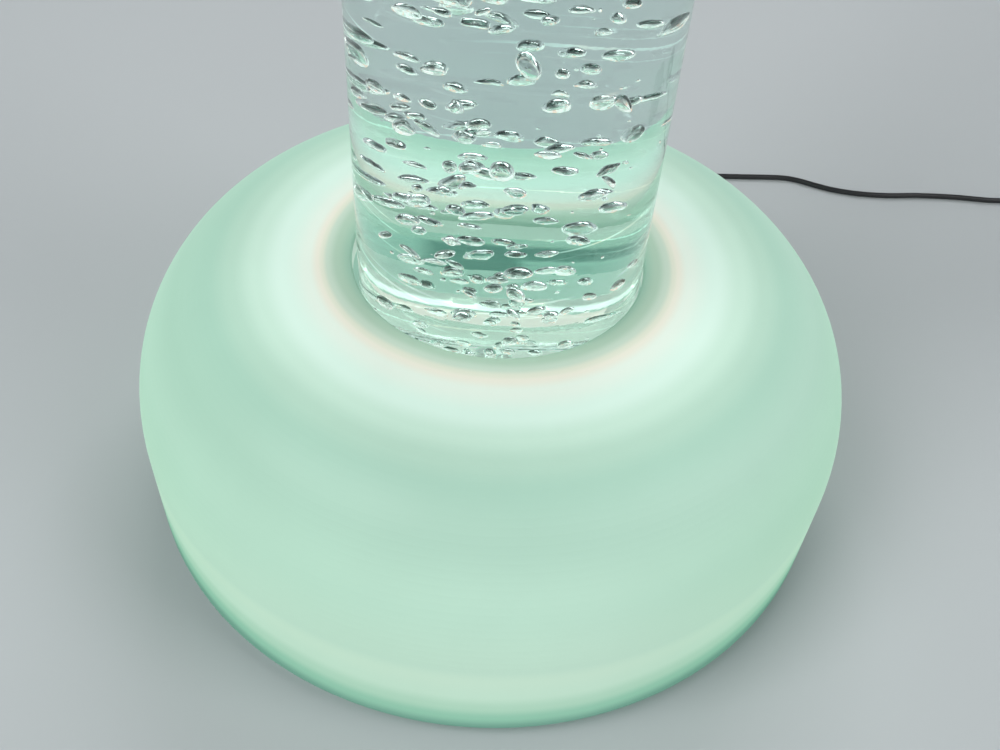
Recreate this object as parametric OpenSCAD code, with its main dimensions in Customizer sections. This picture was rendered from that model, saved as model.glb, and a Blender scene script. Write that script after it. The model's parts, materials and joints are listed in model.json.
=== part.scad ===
// Bubble tube floor lamp: a clear tube full of water stands in the middle of a round,
// glowing moulded base. An air pump in the base feeds bubbles through the tube's floor.
// Frame: the origin is on the floor, on the tube's axis. +Z is up and +Y is the rear,
// where the cable leaves. All sizes are in millimetres.

/* [Base] */
// Outside diameter of the moulded base
base_d = 396; // [390:1:480]
// Height of the base's flat top above the floor
base_h = 150; // [135:1:190]
// Height of the top of the base's upright wall
wall_h = 68; // [55:1:84]
// Diameter of the flat part of the base's top
top_flat_d = 254; // [200:1:300]
// Wall thickness of the moulded shell
shell_t = 4; // [3:0.5:5]
// Radius of the shell's bottom edge
rim_r = 12; // [9:1:16]
// Gap between the shell's bottom edge and the floor
floor_gap = 3; // [2:0.5:3.5]
// Thickness of the base plate
plate_t = 5; // [4:0.5:8]
// Diameter of a rubber foot
foot_d = 24; // [16:1:30]
// Thickness of a rubber foot
foot_h = 4; // [3.5:0.5:6]

/* [Tube] */
// Height of the whole lamp
lamp_h = 1200; // [700:10:1800]
// Outside diameter of the clear tube
tube_d = 150; // [120:1:160]
// Wall thickness of the tube
tube_t = 4; // [3:0.5:6]
// Thickness of the clear disc that closes the tube's bottom
tube_floor_t = 10; // [8:1:15]
// Thickness of the flange under the tube
flange_t = 8; // [6:1:12]
// How far the flange reaches past the tube
flange_reach = 20; // [18:1:24]
// Height of the standoffs that carry the flange
standoff_h = 43; // [38:1:52]
// Length of tube left empty above the water
air_space = 80; // [40:5:200]

/* [Hole in the top] */
// Gap between the tube and the hole that it passes through
hole_gap = 2.2; // [2:0.1:4]
// Distance that the hole sits off the tube's axis, to the left
hole_left = 1; // [0:0.1:1]
// Distance that the hole sits off the tube's axis, to the rear
hole_back = 1.5; // [0:0.1:1.5]
// Depth of the collar under the hole
collar_h = 32; // [24:1:40]
// Radius that rounds the hole's edge
hole_edge_r = 1.5; // [0.5:0.5:3]
// Height of the dark seal in the collar
seal_h = 20; // [12:1:22]

/* [Cap] */
// Thickness of the cap's top
cap_t = 7; // [5:1:10]
// Height of the raised disc on the cap
cap_crown = 3; // [2:0.5:5]
// Depth of the cap's skirt outside the tube
cap_skirt = 14; // [8:1:25]
// Gap between the cap and the tube's wall
cap_gap = 0.4; // [0.3:0.1:0.8]
// Diameter of a vent hole in the cap
vent_d = 4; // [3:0.5:6]

/* [Light] */
// Height of the hoop that carries the light strips, nearly up to the collar
hoop_h = 32.5; // [28:0.5:33]
// Drop from the collar to the hoop
hoop_drop = 1.5; // [1:0.5:4]
// Thickness of the hoop
hoop_t = 2; // [1.5:0.5:4]
// Lamps on each light strip
strip_leds = 30; // [12:1:36]

/* [Air] */
// Width of the pump, across the base
pump_w = 64; // [64:1:72]
// Length of the pump, round the base
pump_l = 96; // [96:1:104]
// Height of the pump's housing
pump_h = 50; // [50:1:56]
// Wall thickness of the pump's housing
pump_t = 2.5; // [2:0.5:3]
// Swing of the pump's arm to each side, in degrees
arm_swing = 1.5; // [0.5:0.1:2]
// Distance from the tube's bore to the ring of air nozzles
nozzle_inset = 33; // [32:1:36]
// Nozzles on that ring, besides the one in the middle
nozzle_count = 5; // [3:1:7]
// Outside diameter of an air nozzle
nozzle_d = 5; // [4:0.5:6]
// Bore of an air nozzle
nozzle_bore = 1.6; // [1:0.2:2]
// Outside diameter of an air barb
barb_d = 6; // [5:0.5:7]

/* [Rear panel] */
// Width of the pocket in the rear of the base
pocket_w = 120; // [112:1:130]
// Height of the pocket
pocket_h = 44; // [42:1:46]
// Depth of the pocket, from the wall to the back of the panel
pocket_depth = 26; // [24:1:30]
// Thickness of the rear panel
panel_t = 3; // [2:0.5:4]
// Diameter of a push button
button_d = 12; // [10:0.5:13]
// Travel of a push button
button_travel = 1.6; // [1:0.1:2]

/* [Drain] */
// Outside diameter of the drain's barbs and spout
drain_d = 10; // [8:0.5:11]
// Bore of the drain
drain_bore = 6; // [4:0.5:6]
// Length of the drain's lever
lever_l = 17; // [12:0.5:17]

/* [Cable] */
// Diameter of the low-voltage lead
cord_d = 4; // [3:0.5:5]
// Diameter across the middle of the coil's turns
coil_d = 44; // [40:1:50]
// Turns of the coil side by side, and the layers of them
coil_rows = 3; // [2:1:4]

/* [Hidden] */
$fn = 96;
e = 0.5;              // overrun of a cut past the face that it opens
run_gap = 0.05;       // clearance of a pin in its hole
fit_gap = 0.3;        // clearance round a part that is seated in another

// Base
base_r = base_d / 2;
inner_r = base_r - shell_t;
plate_top = foot_h + plate_t;
plate_r = base_r - rim_r - 1.5;
boss_n = 6;
boss_r = 7;
boss_ring_r = inner_r - 18;
boss_h = 36;
foot_ring_r = plate_r - foot_d;
foot_n = 6;
foot_turn = 30;       // angle of the first foot
vent_l = 34;          // air slots in the plate
vent_w = 4;
vent_pitch = 9;
vent_side_n = 3;      // slots to each side of the middle one
vent_x = plate_r - 40;

// Fasteners
screw_r = 1.75;       // thread of a plate screw
screw_l = 18;
screw_head_r = 4;
screw_head_h = 2.2;
bolt_r = 2;           // thread of a standoff bolt
bolt_hole_r = 2.2;
bolt_head_r = 3.5;
bolt_head_h = 4;
bolt_grip = 14;       // length of a bolt below the flange
socket_r = 1.7;       // of a bolt's head
stud_r = 1.5;         // thread of a hoop post or panel screw
small_r = 1.3;        // thread of a pump or board screw
small_head_h = 1.6;

// Tube
tube_r = tube_d / 2;
bore_r = tube_r - tube_t;
flange_z = plate_top + standoff_h;
tube_z = flange_z + flange_t;
floor_top = tube_z + tube_floor_t;
tube_top = lamp_h - cap_t - cap_crown;
water_top = tube_top - air_space;
flange_r = tube_r + flange_reach;
standoff_n = 6;
standoff_r = 6;
standoff_turn = 15;   // angle of the first standoff
bolt_ring_r = tube_r + 11;

// Hole in the top
hole_r = tube_r + hole_gap;
collar_z = base_h - collar_h;
seal_z = collar_z + 1;

// Cap
rim_t = 3;            // of the cap's skirt and of the rim inside the tube
rim_h = 8;
crown_r = bore_r - 20;
vent_n = 6;
vent_ring_r = bore_r - 35;

// Light
strip_gap = 3;        // from the tube to the faces of the lamps
led_size = 5;
led_t = 1.6;
strip_t = 0.4;
strip_w = 10;
strip_rise = 2;       // above the hoop's lower edge
hoop_r = tube_r + strip_gap + led_t + strip_t;
hoop_z = collar_z - hoop_drop - hoop_h;
post_n = 3;
post_turn = 45;
post_ring_r = tube_r + 13;
post_r = 3;
lug_t = 3;

// Air
pump_foot_h = 4;
pump_z = plate_top + pump_foot_h;
air_z = pump_z + pump_h / 2;
pump_x = -(flange_r + 8 + pump_w / 2);
pump_side_x = pump_x + pump_w / 2;
cover_h = 16;
pump_boss_r = 3.5;
pump_corner = pump_t + pump_boss_r - 0.5;   // from an outer face to a corner boss
barb_r = barb_d / 2;
barb_l = 8;
barb_bore_r = 1.5;
hose_t = 1;
nozzle_ring_r = bore_r - nozzle_inset;
chamber_r = nozzle_ring_r + 10;
chamber_t = 3;
chamber_z = air_z - barb_r - chamber_t;
valve_l = 12;
valve_x = (pump_side_x - chamber_r) / 2;
nozzle_r = nozzle_d / 2;
nozzle_rise = 4;      // above the tube's floor
nozzle_collar = 2;

// Pump, from its own middle: +X towards the tube
arm_x = -2;           // middle of the arm's blade
arm_t = 4;
arm_w = 12;
pivot_y = 38;
pivot_r = 1.5;
knuckle_r = 4;
arm_end_y = -33;
magnet_t = 5;
magnet_l = 14;
pole_gap = (pivot_y - arm_end_y) * sin(arm_swing) + 1.5;
pole_x = arm_x - arm_t / 2 - magnet_t - pole_gap;   // face of the core
core_back_x = -28;
core_y = -25;         // middle of the core
core_l = 26;
core_h = 20;
core_leg = 8;         // width of the middle leg
coil_t = 4.6;         // thickness of the winding
diaphragm_l = 10;
block_w = 32;         // width and height of the valve block

// Rear panel
pocket_z = 18;
panel_y = base_r - pocket_depth;     // back face of the panel
panel_front = panel_y + panel_t;
ledge = 6;
rear_z = pocket_z + pocket_h / 2;
drain_x = -38;
drain_z = rear_z - 4;
mode_x = -8;
power_x = 16;
jack_x = 42;
button_r = button_d / 2;
button_proud = 3;
button_back = 1;      // of the button, behind the panel
switch_w = 16;
switch_l = 14;
stem_r = 1.5;
stem_l = 8;
jack_r = 5.5;
jack_proud = 3;
jack_back = 20;
plug_barrel_r = 2.7;
plug_r = 5.2;
plug_l = 22.6;
relief_l = 18;
plug_y = panel_front + jack_proud + 0.4;
relief_y = plug_y + plug_l;

// Drain
drain_r = drain_d / 2;
drain_bore_r = drain_bore / 2;
drain_at = chamber_r + 10;           // from the tube's axis to the drain
drain_hose_t = 2;
elbow_r = 8;
elbow_h = 22;
elbow_l = 28;
valve_r = 9;
neck_r = 7;
valve_body_l = 15;
ball_r = 5.5;
ball_flat = 4.8;      // height of the ball's flat top above its middle
spout_l = base_r - 1 - panel_front - valve_body_l;
ball_y = panel_front + valve_body_l / 2;
valve_boss_h = 10;
valve_tail = 24;      // from the back of the panel to the end of the hose's barb
valve_neck = 12;
lever_t = 3;

// Control board
board_w = 56;
board_l = 84;
board_t = 1.6;
board_x = flange_r + 10 + board_w / 2;
board_z = plate_top + 12;

// Wiring
wire_r = 1.2;
wire_gap = 0.6;       // from a wire's end to what it plugs into

// Cable on the floor: points chosen by hand, from the plug to the coil
cord_r = cord_d / 2;
lie = cord_r + 0.1;      // height of a lying cord's middle
cord_route = [[42, 219, 40], [42, 227, 39], [43, 236, 35], [46, 245, 27.5], [51, 253, 19],
    [58, 261, 11.5], [68, 269, 6.2], [82, 277, 3.4], [100, 284, 2.4], [128, 290, lie],
    [156, 293, lie], [184, 295, lie], [210, 297, lie], [228, 298, lie],
    [240, 296, lie], [253, 291, lie], [268, 286, lie], [288, 283, lie],
    [312, 283, lie], [338, 286, lie], [368, 287, lie], [400, 286, lie],
    [424, 290, lie], [444, 298.5, lie]];
tail_route = [[481, 275, 10], [481, 264, 9.2], [479, 252, 6.4], [473.5, 239, 3], [467, 227, 2.6],
    [462, 216, 5.4], [459, 205, 11.4], [459, 193, 17]];
coil_at = [455, 275];
coil_band = coil_rows * cord_d;

// Mains adapter, lying beside the coil
adapter_at = [459, 140];
adapter_w = 44;
adapter_l = 70;
adapter_h = 34;
adapter_r = 5;
adapter_relief_l = 18;
pin_r = 2;
pin_l = 19;
pin_pitch = 19;

// ---- Shapes that repeat ----

module ring(outer, inner, h) {
    difference() {
        cylinder(r = outer, h = h);
        translate([0, 0, -e]) cylinder(r = inner, h = h + 2 * e);
    }
}

module around(n, radius, turn = 0) {
    for (i = [0:n - 1]) rotate(turn + i * 360 / n) translate([radius, 0, 0]) children();
}

// A rectangle with round corners, centred
module rounded(w, l, r) {
    square([w - 2 * r, l], center = true);
    square([w, l - 2 * r], center = true);
    for (x = [-1, 1], y = [-1, 1]) translate([x * (w / 2 - r), y * (l / 2 - r)]) circle(r);
}

// A slot with round ends, centred
module slot(l, w) {
    square([l - w, w], center = true);
    for (x = [-1, 1]) translate([x * (l - w) / 2, 0]) circle(w / 2);
}

// A pan-head screw that points up from the underside of its head's seat
module screw_up(r, l) {
    cylinder(r = r, h = l);
    translate([0, 0, -screw_head_h])
        cylinder(r1 = screw_head_r - 1, r2 = screw_head_r, h = screw_head_h);
}

// A bar along +Y from y = 0
module rod_y(r, l) {
    rotate([-90, 0, 0]) cylinder(r = r, h = l);
}

// A bar along +X from x = 0
module rod_x(r, l) {
    rotate([0, 90, 0]) cylinder(r = r, h = l);
}

// A stem with three sharp rings that a hose grips, along +X
module barb_x(l) {
    rod_x(barb_r - 0.4, l);
    for (i = [0:2]) translate([(i + 0.3) * l / 3.4, 0, 0]) rod_x(barb_r, l / 6);
}

module at_standoffs() {
    around(standoff_n, bolt_ring_r, standoff_turn) children();
}

module at_posts() {
    around(post_n, post_ring_r, post_turn) children();
}

// ---- A round tube swept along a route ----

function unit(v) = v / norm(v);
function tangent(p, i) = unit(p[min(i + 1, len(p) - 1)] - p[max(i - 1, 0)]);
function first_side(t) = cross(t, abs(t.z) > 0.8 ? [1, 0, 0] : [0, 0, 1]);
function square_to(u, t) = unit(u - (u * t) * t);
function sides(p, i, u) = i == len(p) ? [] :
    let (s = square_to(u, tangent(p, i))) concat([s], sides(p, i + 1, s));
function between(a, b, c, d, t) = 0.5 * (2 * b + (c - a) * t
    + (2 * a - 5 * b + 4 * c - d) * t * t + (3 * b - a - 3 * c + d) * t * t * t);
function smooth(p, steps) = concat(
    [for (i = [0:len(p) - 2]) for (k = [0:steps - 1])
        between(p[max(i - 1, 0)], p[i], p[i + 1], p[min(i + 2, len(p) - 1)], k / steps)],
    [p[len(p) - 1]]);

module swept(route, r, n, steps) {
    p = smooth(route, steps);
    m = len(p);
    s = sides(p, 0, first_side(tangent(p, 0)));
    points = [for (i = [0:m - 1]) let (b = cross(tangent(p, i), s[i]))
        for (k = [0:n - 1]) p[i] + r * (cos(k * 360 / n) * s[i] + sin(k * 360 / n) * b)];
    walls = [for (i = [0:m - 2]) for (k = [0:n - 1]) let (a = i * n + k, b = i * n + (k + 1) % n)
        for (f = [[a, a + n, b], [b, a + n, b + n]]) f];
    ends = [[for (k = [0:n - 1]) k], [for (k = [0:n - 1]) m * n - 1 - k]];
    polyhedron(points, concat(walls, ends));
}

// ---- Base ----

// Half outline of the base, a distance t inside its outer surface
module base_half(t, bottom, axis_x = 0) {
    foot_arc = [for (a = [-90:15:0]) [base_r - rim_r + (rim_r - t) * cos(a),
        floor_gap + rim_r + (rim_r - t) * sin(a)]];
    shoulder_w = base_r - top_flat_d / 2;
    shoulder_h = base_h - wall_h;
    shoulder = [for (a = [0:3:90]) [base_r - shoulder_w + (shoulder_w - t) * cos(a),
        wall_h + (shoulder_h - t) * sin(a)]];
    polygon(concat([[axis_x, bottom], [base_r - rim_r, bottom]], foot_arc, shoulder,
        [[axis_x, base_h - t]]));
}

module base_body(t, bottom) {
    rotate_extrude() base_half(t, bottom);
}

module pocket_block(margin, from_y) {
    translate([-pocket_w / 2 - margin, from_y, pocket_z - margin])
        cube([pocket_w + 2 * margin, base_r, pocket_h + 2 * margin]);
}

module at_hole(z) {
    translate([-hole_left, hole_back, z]) children();
}

module base_shell() {
    color([0.84, 0.95, 0.88]) difference() {
        union() {
            difference() {
                base_body(0, floor_gap);
                base_body(shell_t, floor_gap - e);
            }
            // Collar round the tube
            at_hole(collar_z) cylinder(r = hole_r + shell_t, h = collar_h - shell_t / 2);
            // Bosses for the base plate, each tied to the wall by a rib
            around(boss_n, boss_ring_r) {
                translate([0, 0, plate_top]) cylinder(r = boss_r, h = boss_h);
                translate([0, -shell_t / 2, plate_top + floor_gap])
                    cube([inner_r - boss_ring_r + 1, shell_t, boss_h - floor_gap]);
            }
            // Walls of the pocket, with a ledge that the rear panel seats on
            intersection() {
                base_body(0, floor_gap);
                pocket_block(shell_t, panel_y - ledge);
            }
        }
        pocket_block(0, panel_y);
        pocket_block(-ledge, panel_y - ledge - e);
        at_hole(collar_z - e) cylinder(r = hole_r, h = collar_h + 2 * e);
        at_hole(base_h - hole_edge_r) rotate_extrude() difference() {
            translate([hole_r - e, 0]) square([hole_edge_r + e, hole_edge_r + e]);
            translate([hole_r + hole_edge_r, 0]) circle(hole_edge_r);
        }
        around(boss_n, boss_ring_r) translate([0, 0, plate_top - e])
            cylinder(r = screw_r + run_gap, h = screw_l + 2);
        at_panel_corners() translate([0, panel_y - ledge - e, 0]) rod_y(stud_r + run_gap, ledge + 2 * e);
    }
}

module base_plate() {
    color([0.12, 0.12, 0.13]) difference() {
        translate([0, 0, foot_h]) cylinder(r = plate_r, h = plate_t);
        translate([0, 0, foot_h - e]) {
            around(boss_n, boss_ring_r) cylinder(r = bolt_hole_r, h = plate_t + 2 * e);
            at_standoffs() cylinder(r = bolt_hole_r, h = plate_t + 2 * e);
            // Air slots for the pump and the board
            for (side = [-1, 1], i = [-vent_side_n:vent_side_n])
                translate([side * vent_x, i * vent_pitch, 0])
                    linear_extrude(plate_t + 2 * e) slot(vent_l, vent_w);
        }
    }
}

module plate_screws() {
    color("dimgray") around(boss_n, boss_ring_r) translate([0, 0, foot_h]) screw_up(screw_r, screw_l);
}

module rubber_feet() {
    color([0.08, 0.08, 0.08]) around(foot_n, foot_ring_r, foot_turn) {
        translate([0, 0, 1]) cylinder(r = foot_d / 2, h = foot_h - 1);
        cylinder(r1 = foot_d / 2 - 1, r2 = foot_d / 2, h = 1);
    }
}

// ---- Tube ----

module at_nozzles() {
    children();
    around(nozzle_count, nozzle_ring_r, 180) children();
}

module floor_holes(z, h) {
    translate([0, 0, z - e]) {
        at_nozzles() cylinder(r = nozzle_r + run_gap, h = h + 2 * e);
        translate([0, drain_at, 0]) cylinder(r = drain_r + run_gap, h = h + 2 * e);
    }
}

module tube() {
    color([0.80, 0.95, 0.93, 0.35]) translate([0, 0, tube_z]) ring(tube_r, bore_r, tube_top - tube_z);
}

module tube_floor() {
    color([0.75, 0.93, 0.90, 0.5]) difference() {
        translate([0, 0, tube_z]) cylinder(r = bore_r - run_gap, h = tube_floor_t);
        floor_holes(tube_z, tube_floor_t);
    }
}

module tube_flange() {
    color([0.75, 0.93, 0.90, 0.5]) difference() {
        translate([0, 0, flange_z]) cylinder(r = flange_r, h = flange_t);
        floor_holes(flange_z, flange_t);
        translate([0, 0, flange_z - e]) {
            at_standoffs() cylinder(r = bolt_hole_r, h = flange_t + 2 * e);
            at_posts() cylinder(r = stud_r + run_gap, h = flange_t + 2 * e);
        }
    }
}

module flange_standoffs() {
    color("silver") at_standoffs()
        translate([0, 0, plate_top]) ring(standoff_r, bolt_r + run_gap, standoff_h);
}

module flange_bolts() {
    color("gainsboro") at_standoffs() {
        translate([0, 0, flange_z - bolt_grip]) cylinder(r = bolt_r, h = bolt_grip + flange_t);
        difference() {
            translate([0, 0, tube_z]) cylinder(r = bolt_head_r, h = bolt_head_h);
            translate([0, 0, tube_z + 1.5]) cylinder(r = socket_r, h = bolt_head_h, $fn = 6);
        }
    }
}

module standoff_screws() {
    color("dimgray") at_standoffs()
        translate([0, 0, foot_h]) screw_up(bolt_r, screw_l);
}

module tube_seal() {
    color([0.05, 0.06, 0.06]) difference() {
        at_hole(seal_z) cylinder(r = hole_r - run_gap, h = seal_h);
        translate([0, 0, seal_z - e]) cylinder(r = tube_r + run_gap, h = seal_h + 2 * e);
    }
}

module water_column() {
    color([0.55, 0.90, 0.85, 0.4]) difference() {
        translate([0, 0, floor_top]) cylinder(r = bore_r - run_gap, h = water_top - floor_top);
        translate([0, 0, floor_top - e]) at_nozzles() {
            cylinder(r = nozzle_r + run_gap, h = nozzle_rise + run_gap + e);
            cylinder(r = nozzle_r + nozzle_collar + run_gap, h = nozzle_collar + run_gap + e);
        }
        translate([0, drain_at, floor_top - e]) cylinder(r = drain_r + run_gap, h = 2 * e);
    }
}

module top_cap() {
    skirt_r = tube_r + cap_gap + rim_t;
    plug_in = bore_r - cap_gap;
    color([0.93, 0.94, 0.94]) difference() {
        rotate_extrude() {
            // Skirt, with a round shoulder
            translate([tube_r + cap_gap, tube_top - cap_skirt]) square([rim_t, cap_skirt + cap_t - rim_t]);
            translate([skirt_r - rim_t, tube_top + cap_t - rim_t]) intersection() {
                circle(rim_t);
                square(rim_t);
            }
            translate([0, tube_top]) square([skirt_r - rim_t, cap_t]);
            // Rim that drops inside the tube
            translate([plug_in - rim_t, tube_top - rim_h]) square([rim_t, rim_h + e]);
            // Raised disc, with a round edge
            translate([0, tube_top + cap_t - e]) square([crown_r, cap_crown + e]);
            translate([crown_r, tube_top + cap_t - e]) square([cap_crown, e]);
            translate([crown_r, tube_top + cap_t]) intersection() {
                circle(cap_crown);
                square(cap_crown);
            }
        }
        around(vent_n, vent_ring_r) translate([0, 0, tube_top - e])
            cylinder(d = vent_d, h = cap_t + cap_crown + 2 * e);
    }
}

// ---- Air ----

module air_chamber() {
    h = flange_z - chamber_z;
    color([0.85, 0.86, 0.86]) difference() {
        union() {
            translate([0, 0, chamber_z]) cylinder(r = chamber_r, h = h);
            translate([-chamber_r + 1, 0, air_z]) rotate(180) barb_x(barb_l + 1);
        }
        translate([0, 0, chamber_z + chamber_t]) cylinder(r = chamber_r - chamber_t, h = h);
        translate([-chamber_r - barb_l - e, 0, air_z]) rod_x(barb_bore_r, barb_l + chamber_t + 2 * e);
    }
}

module air_nozzles() {
    foot = 4;
    h = foot + flange_t + tube_floor_t + nozzle_rise;
    color("silver") at_nozzles() difference() {
        union() {
            translate([0, 0, flange_z - foot]) cylinder(r = nozzle_r, h = h);
            translate([0, 0, floor_top]) cylinder(r = nozzle_r + nozzle_collar, h = nozzle_collar);
        }
        translate([0, 0, flange_z - foot - e]) cylinder(d = nozzle_bore, h = h + 2 * e);
    }
}

module check_valve() {
    color([0.9, 0.9, 0.92]) translate([valve_x, 0, air_z]) difference() {
        union() {
            translate([-valve_l / 2, 0, 0]) rod_x(barb_r + 3, valve_l);
            translate([-valve_l / 2 - 0.5, 0, 0]) rod_x(barb_r + 4, 3);
            translate([valve_l / 2, 0, 0]) barb_x(barb_l);
            translate([-valve_l / 2, 0, 0]) rotate(180) barb_x(barb_l);
        }
        translate([-valve_l / 2 - barb_l - e, 0, 0]) rod_x(barb_bore_r, valve_l + 2 * barb_l + 2 * e);
    }
}

module hose_x(from, to) {
    translate([from, 0, air_z]) rotate([0, 90, 0]) ring(barb_r + hose_t, barb_r + run_gap, to - from);
}

module air_hoses() {
    color([0.86, 0.92, 0.92]) {
        hose_x(pump_side_x + 0.5, valve_x - valve_l / 2 - 0.8);
        hose_x(valve_x + valve_l / 2 + fit_gap, -chamber_r - fit_gap);
    }
}

// ---- Pump ----

module at_pump_corners(inset) {
    for (x = [-1, 1], y = [-1, 1])
        translate([pump_x + x * (pump_w / 2 - inset), y * (pump_l / 2 - inset), 0]) children();
}

module pump_housing() {
    tray_h = pump_h - cover_h;
    color([0.16, 0.17, 0.18]) difference() {
        union() {
            difference() {
                translate([pump_x, 0, pump_z]) linear_extrude(tray_h) rounded(pump_w, pump_l, 5);
                translate([pump_x, 0, pump_z + pump_t])
                    linear_extrude(tray_h) rounded(pump_w - 2 * pump_t, pump_l - 2 * pump_t, 3);
            }
            at_pump_corners(pump_corner) translate([0, 0, pump_z + 1])
                cylinder(r = pump_boss_r, h = tray_h - 1);
            // Pivot post, and the seats of the core and the valve block
            translate([pump_x + arm_x, pivot_y, pump_z + 1]) {
                cylinder(r = knuckle_r, h = air_z - pump_z - 1 - arm_w / 2 - fit_gap);
                cylinder(r = pivot_r, h = air_z - pump_z - 1 + arm_w / 2 + 2);
            }
            translate([pump_x + core_back_x, core_y - core_l / 2, pump_z + 1])
                cube([4, core_l, air_z - core_h / 2 - pump_z - 1]);
            translate([pump_x + 14, -8, pump_z + 1]) cube([12, 16, air_z - block_w / 2 - pump_z - 1]);
        }
        at_pump_corners(pump_corner) translate([0, 0, pump_z + tray_h - 14])
            cylinder(r = small_r + run_gap, h = 15);
        translate([pump_side_x - pump_t - e, 0, air_z]) rod_x(barb_r + fit_gap, pump_t + 2 * e);
        translate([pump_x, -pump_l / 2 - e, air_z - 12]) rod_y(wire_r + wire_gap, pump_t + 2 * e);
    }
}

module pump_cover() {
    color([0.2, 0.21, 0.22]) translate([pump_x, 0, pump_z + pump_h - cover_h]) difference() {
        union() {
            difference() {
                linear_extrude(cover_h) rounded(pump_w, pump_l, 5);
                translate([0, 0, -e]) linear_extrude(cover_h - pump_t + e)
                    rounded(pump_w - 2 * pump_t, pump_l - 2 * pump_t, 3);
            }
            translate([-pump_x, 0, 0]) at_pump_corners(pump_corner)
                cylinder(r = pump_boss_r, h = cover_h - 1);
        }
        translate([-pump_x, 0, -e]) at_pump_corners(pump_corner) cylinder(r = 1.6, h = cover_h + 2 * e);
    }
}

module pump_cover_screws() {
    color("dimgray") at_pump_corners(pump_corner) translate([0, 0, pump_z + pump_h]) mirror([0, 0, 1]) {
        cylinder(r = small_r, h = cover_h + 10);
        translate([0, 0, -small_head_h]) cylinder(r = 2.8, h = small_head_h);
    }
}

module pump_feet() {
    color([0.08, 0.08, 0.08]) at_pump_corners(12) translate([0, 0, plate_top])
        cylinder(r1 = 7, r2 = 5.5, h = pump_foot_h);
}

// An E-shaped core: two windows are cut from the face that meets the arm
module pump_core() {
    window = coil_t + 0.4;
    color([0.45, 0.46, 0.48]) translate([pump_x, core_y, air_z]) difference() {
        translate([core_back_x, -core_l / 2, -core_h / 2]) cube([pole_x - core_back_x, core_l, core_h]);
        for (side = [-1, 1]) translate([core_back_x + 4.5, side * (core_leg + window) / 2, 0])
            translate([0, -window / 2, -core_h / 2 - e]) cube([20, window, core_h + 2 * e]);
    }
}

module pump_coil() {
    reach = core_leg / 2 + 0.2;
    color([0.62, 0.32, 0.14]) translate([pump_x + core_back_x + 4.6, core_y, air_z])
        rotate([90, 0, 90]) linear_extrude(pole_x - core_back_x - 5.6) difference() {
            rounded(2 * (reach + coil_t - 0.1), core_h + 0.4 + 2 * coil_t, 2);
            square([2 * reach, core_h + 0.4], center = true);
        }
}

module pump_arm() {
    color([0.75, 0.75, 0.72]) translate([pump_x + arm_x, 0, air_z]) difference() {
        union() {
            translate([0, pivot_y, -arm_w / 2]) cylinder(r = knuckle_r, h = arm_w);
            translate([-arm_t / 2, arm_end_y, -arm_w / 2]) cube([arm_t, pivot_y - arm_end_y, arm_w]);
        }
        translate([0, pivot_y, -arm_w / 2 - e]) cylinder(r = pivot_r + run_gap, h = arm_w + 2 * e);
    }
}

module pump_magnet() {
    color([0.3, 0.3, 0.33])
        translate([pump_x + arm_x - arm_t / 2 - magnet_t, arm_end_y, air_z - arm_w / 2])
            cube([magnet_t, magnet_l, arm_w]);
}

module pump_diaphragm() {
    color([0.1, 0.1, 0.11]) translate([pump_x + arm_x + arm_t / 2, 0, air_z]) difference() {
        union() {
            rod_x(4, 4);
            translate([3, 0, 0]) rotate([0, 90, 0]) cylinder(r1 = 8, r2 = 11, h = diaphragm_l - 5);
            translate([diaphragm_l - 2, 0, 0]) rod_x(14, 2);
        }
        translate([5, 0, 0]) rotate([0, 90, 0]) cylinder(r1 = 7, r2 = 9.5, h = diaphragm_l);
    }
}

module pump_valve_block() {
    from = arm_x + arm_t / 2 + diaphragm_l;
    to = pump_w / 2 - pump_t;
    color([0.7, 0.71, 0.72]) translate([pump_x + from, 0, air_z]) difference() {
        union() {
            translate([0, -block_w / 2, -block_w / 2]) cube([to - from, block_w, block_w]);
            translate([to - from, 0, 0]) rod_x(barb_r, pump_t + 1);
            translate([to - from + pump_t + 1, 0, 0]) barb_x(barb_l);
        }
        translate([-e, 0, 0]) rod_x(barb_bore_r, to - from + pump_t + barb_l + 2);
        translate([-e, 0, 0]) rod_x(9, 3 + e);
    }
}

// ---- Light ----

module strip_lamps(radius, facing_in) {
    z = hoop_z + strip_rise + (strip_w - led_size) / 2;
    around(strip_leds, radius) translate([facing_in ? -led_t : 0, -led_size / 2, z])
        cube([led_t, led_size, led_size]);
}

module led_hoop() {
    color([0.92, 0.93, 0.93]) difference() {
        union() {
            translate([0, 0, hoop_z]) cylinder(r = hoop_r + hoop_t, h = hoop_h);
            at_posts() translate([0, 0, hoop_z]) {
                cylinder(r = post_r + 2, h = lug_t);
                translate([hoop_r - post_ring_r, -post_r - 2, 0])
                    cube([post_ring_r - hoop_r, 2 * post_r + 4, lug_t]);
            }
        }
        translate([0, 0, hoop_z - e]) cylinder(r = hoop_r, h = hoop_h + 2 * e);
        at_posts() translate([0, 0, hoop_z - e])
            cylinder(r = stud_r + run_gap, h = lug_t + 2 * e);
    }
}

module hoop_posts() {
    color("silver") at_posts() {
        translate([0, 0, tube_z]) cylinder(r = post_r, h = hoop_z - tube_z);
        translate([0, 0, flange_z + 1]) cylinder(r = stud_r, h = flange_t);
        translate([0, 0, hoop_z - e]) cylinder(r = stud_r, h = lug_t + 4 + e);
    }
}

module hoop_nuts() {
    color("gainsboro") at_posts() translate([0, 0, hoop_z + lug_t])
        difference() {
            cylinder(r = 3.1, h = 2.4, $fn = 6);
            translate([0, 0, -e]) cylinder(r = stud_r + run_gap, h = 4);
        }
}

module inner_led_strip() {
    color([0.95, 0.95, 0.9]) translate([0, 0, hoop_z + strip_rise])
        ring(hoop_r - run_gap, hoop_r - strip_t, strip_w);
}

module inner_leds() {
    color([1, 0.98, 0.85]) strip_lamps(hoop_r - strip_t - 2 * run_gap, true);
}

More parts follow.
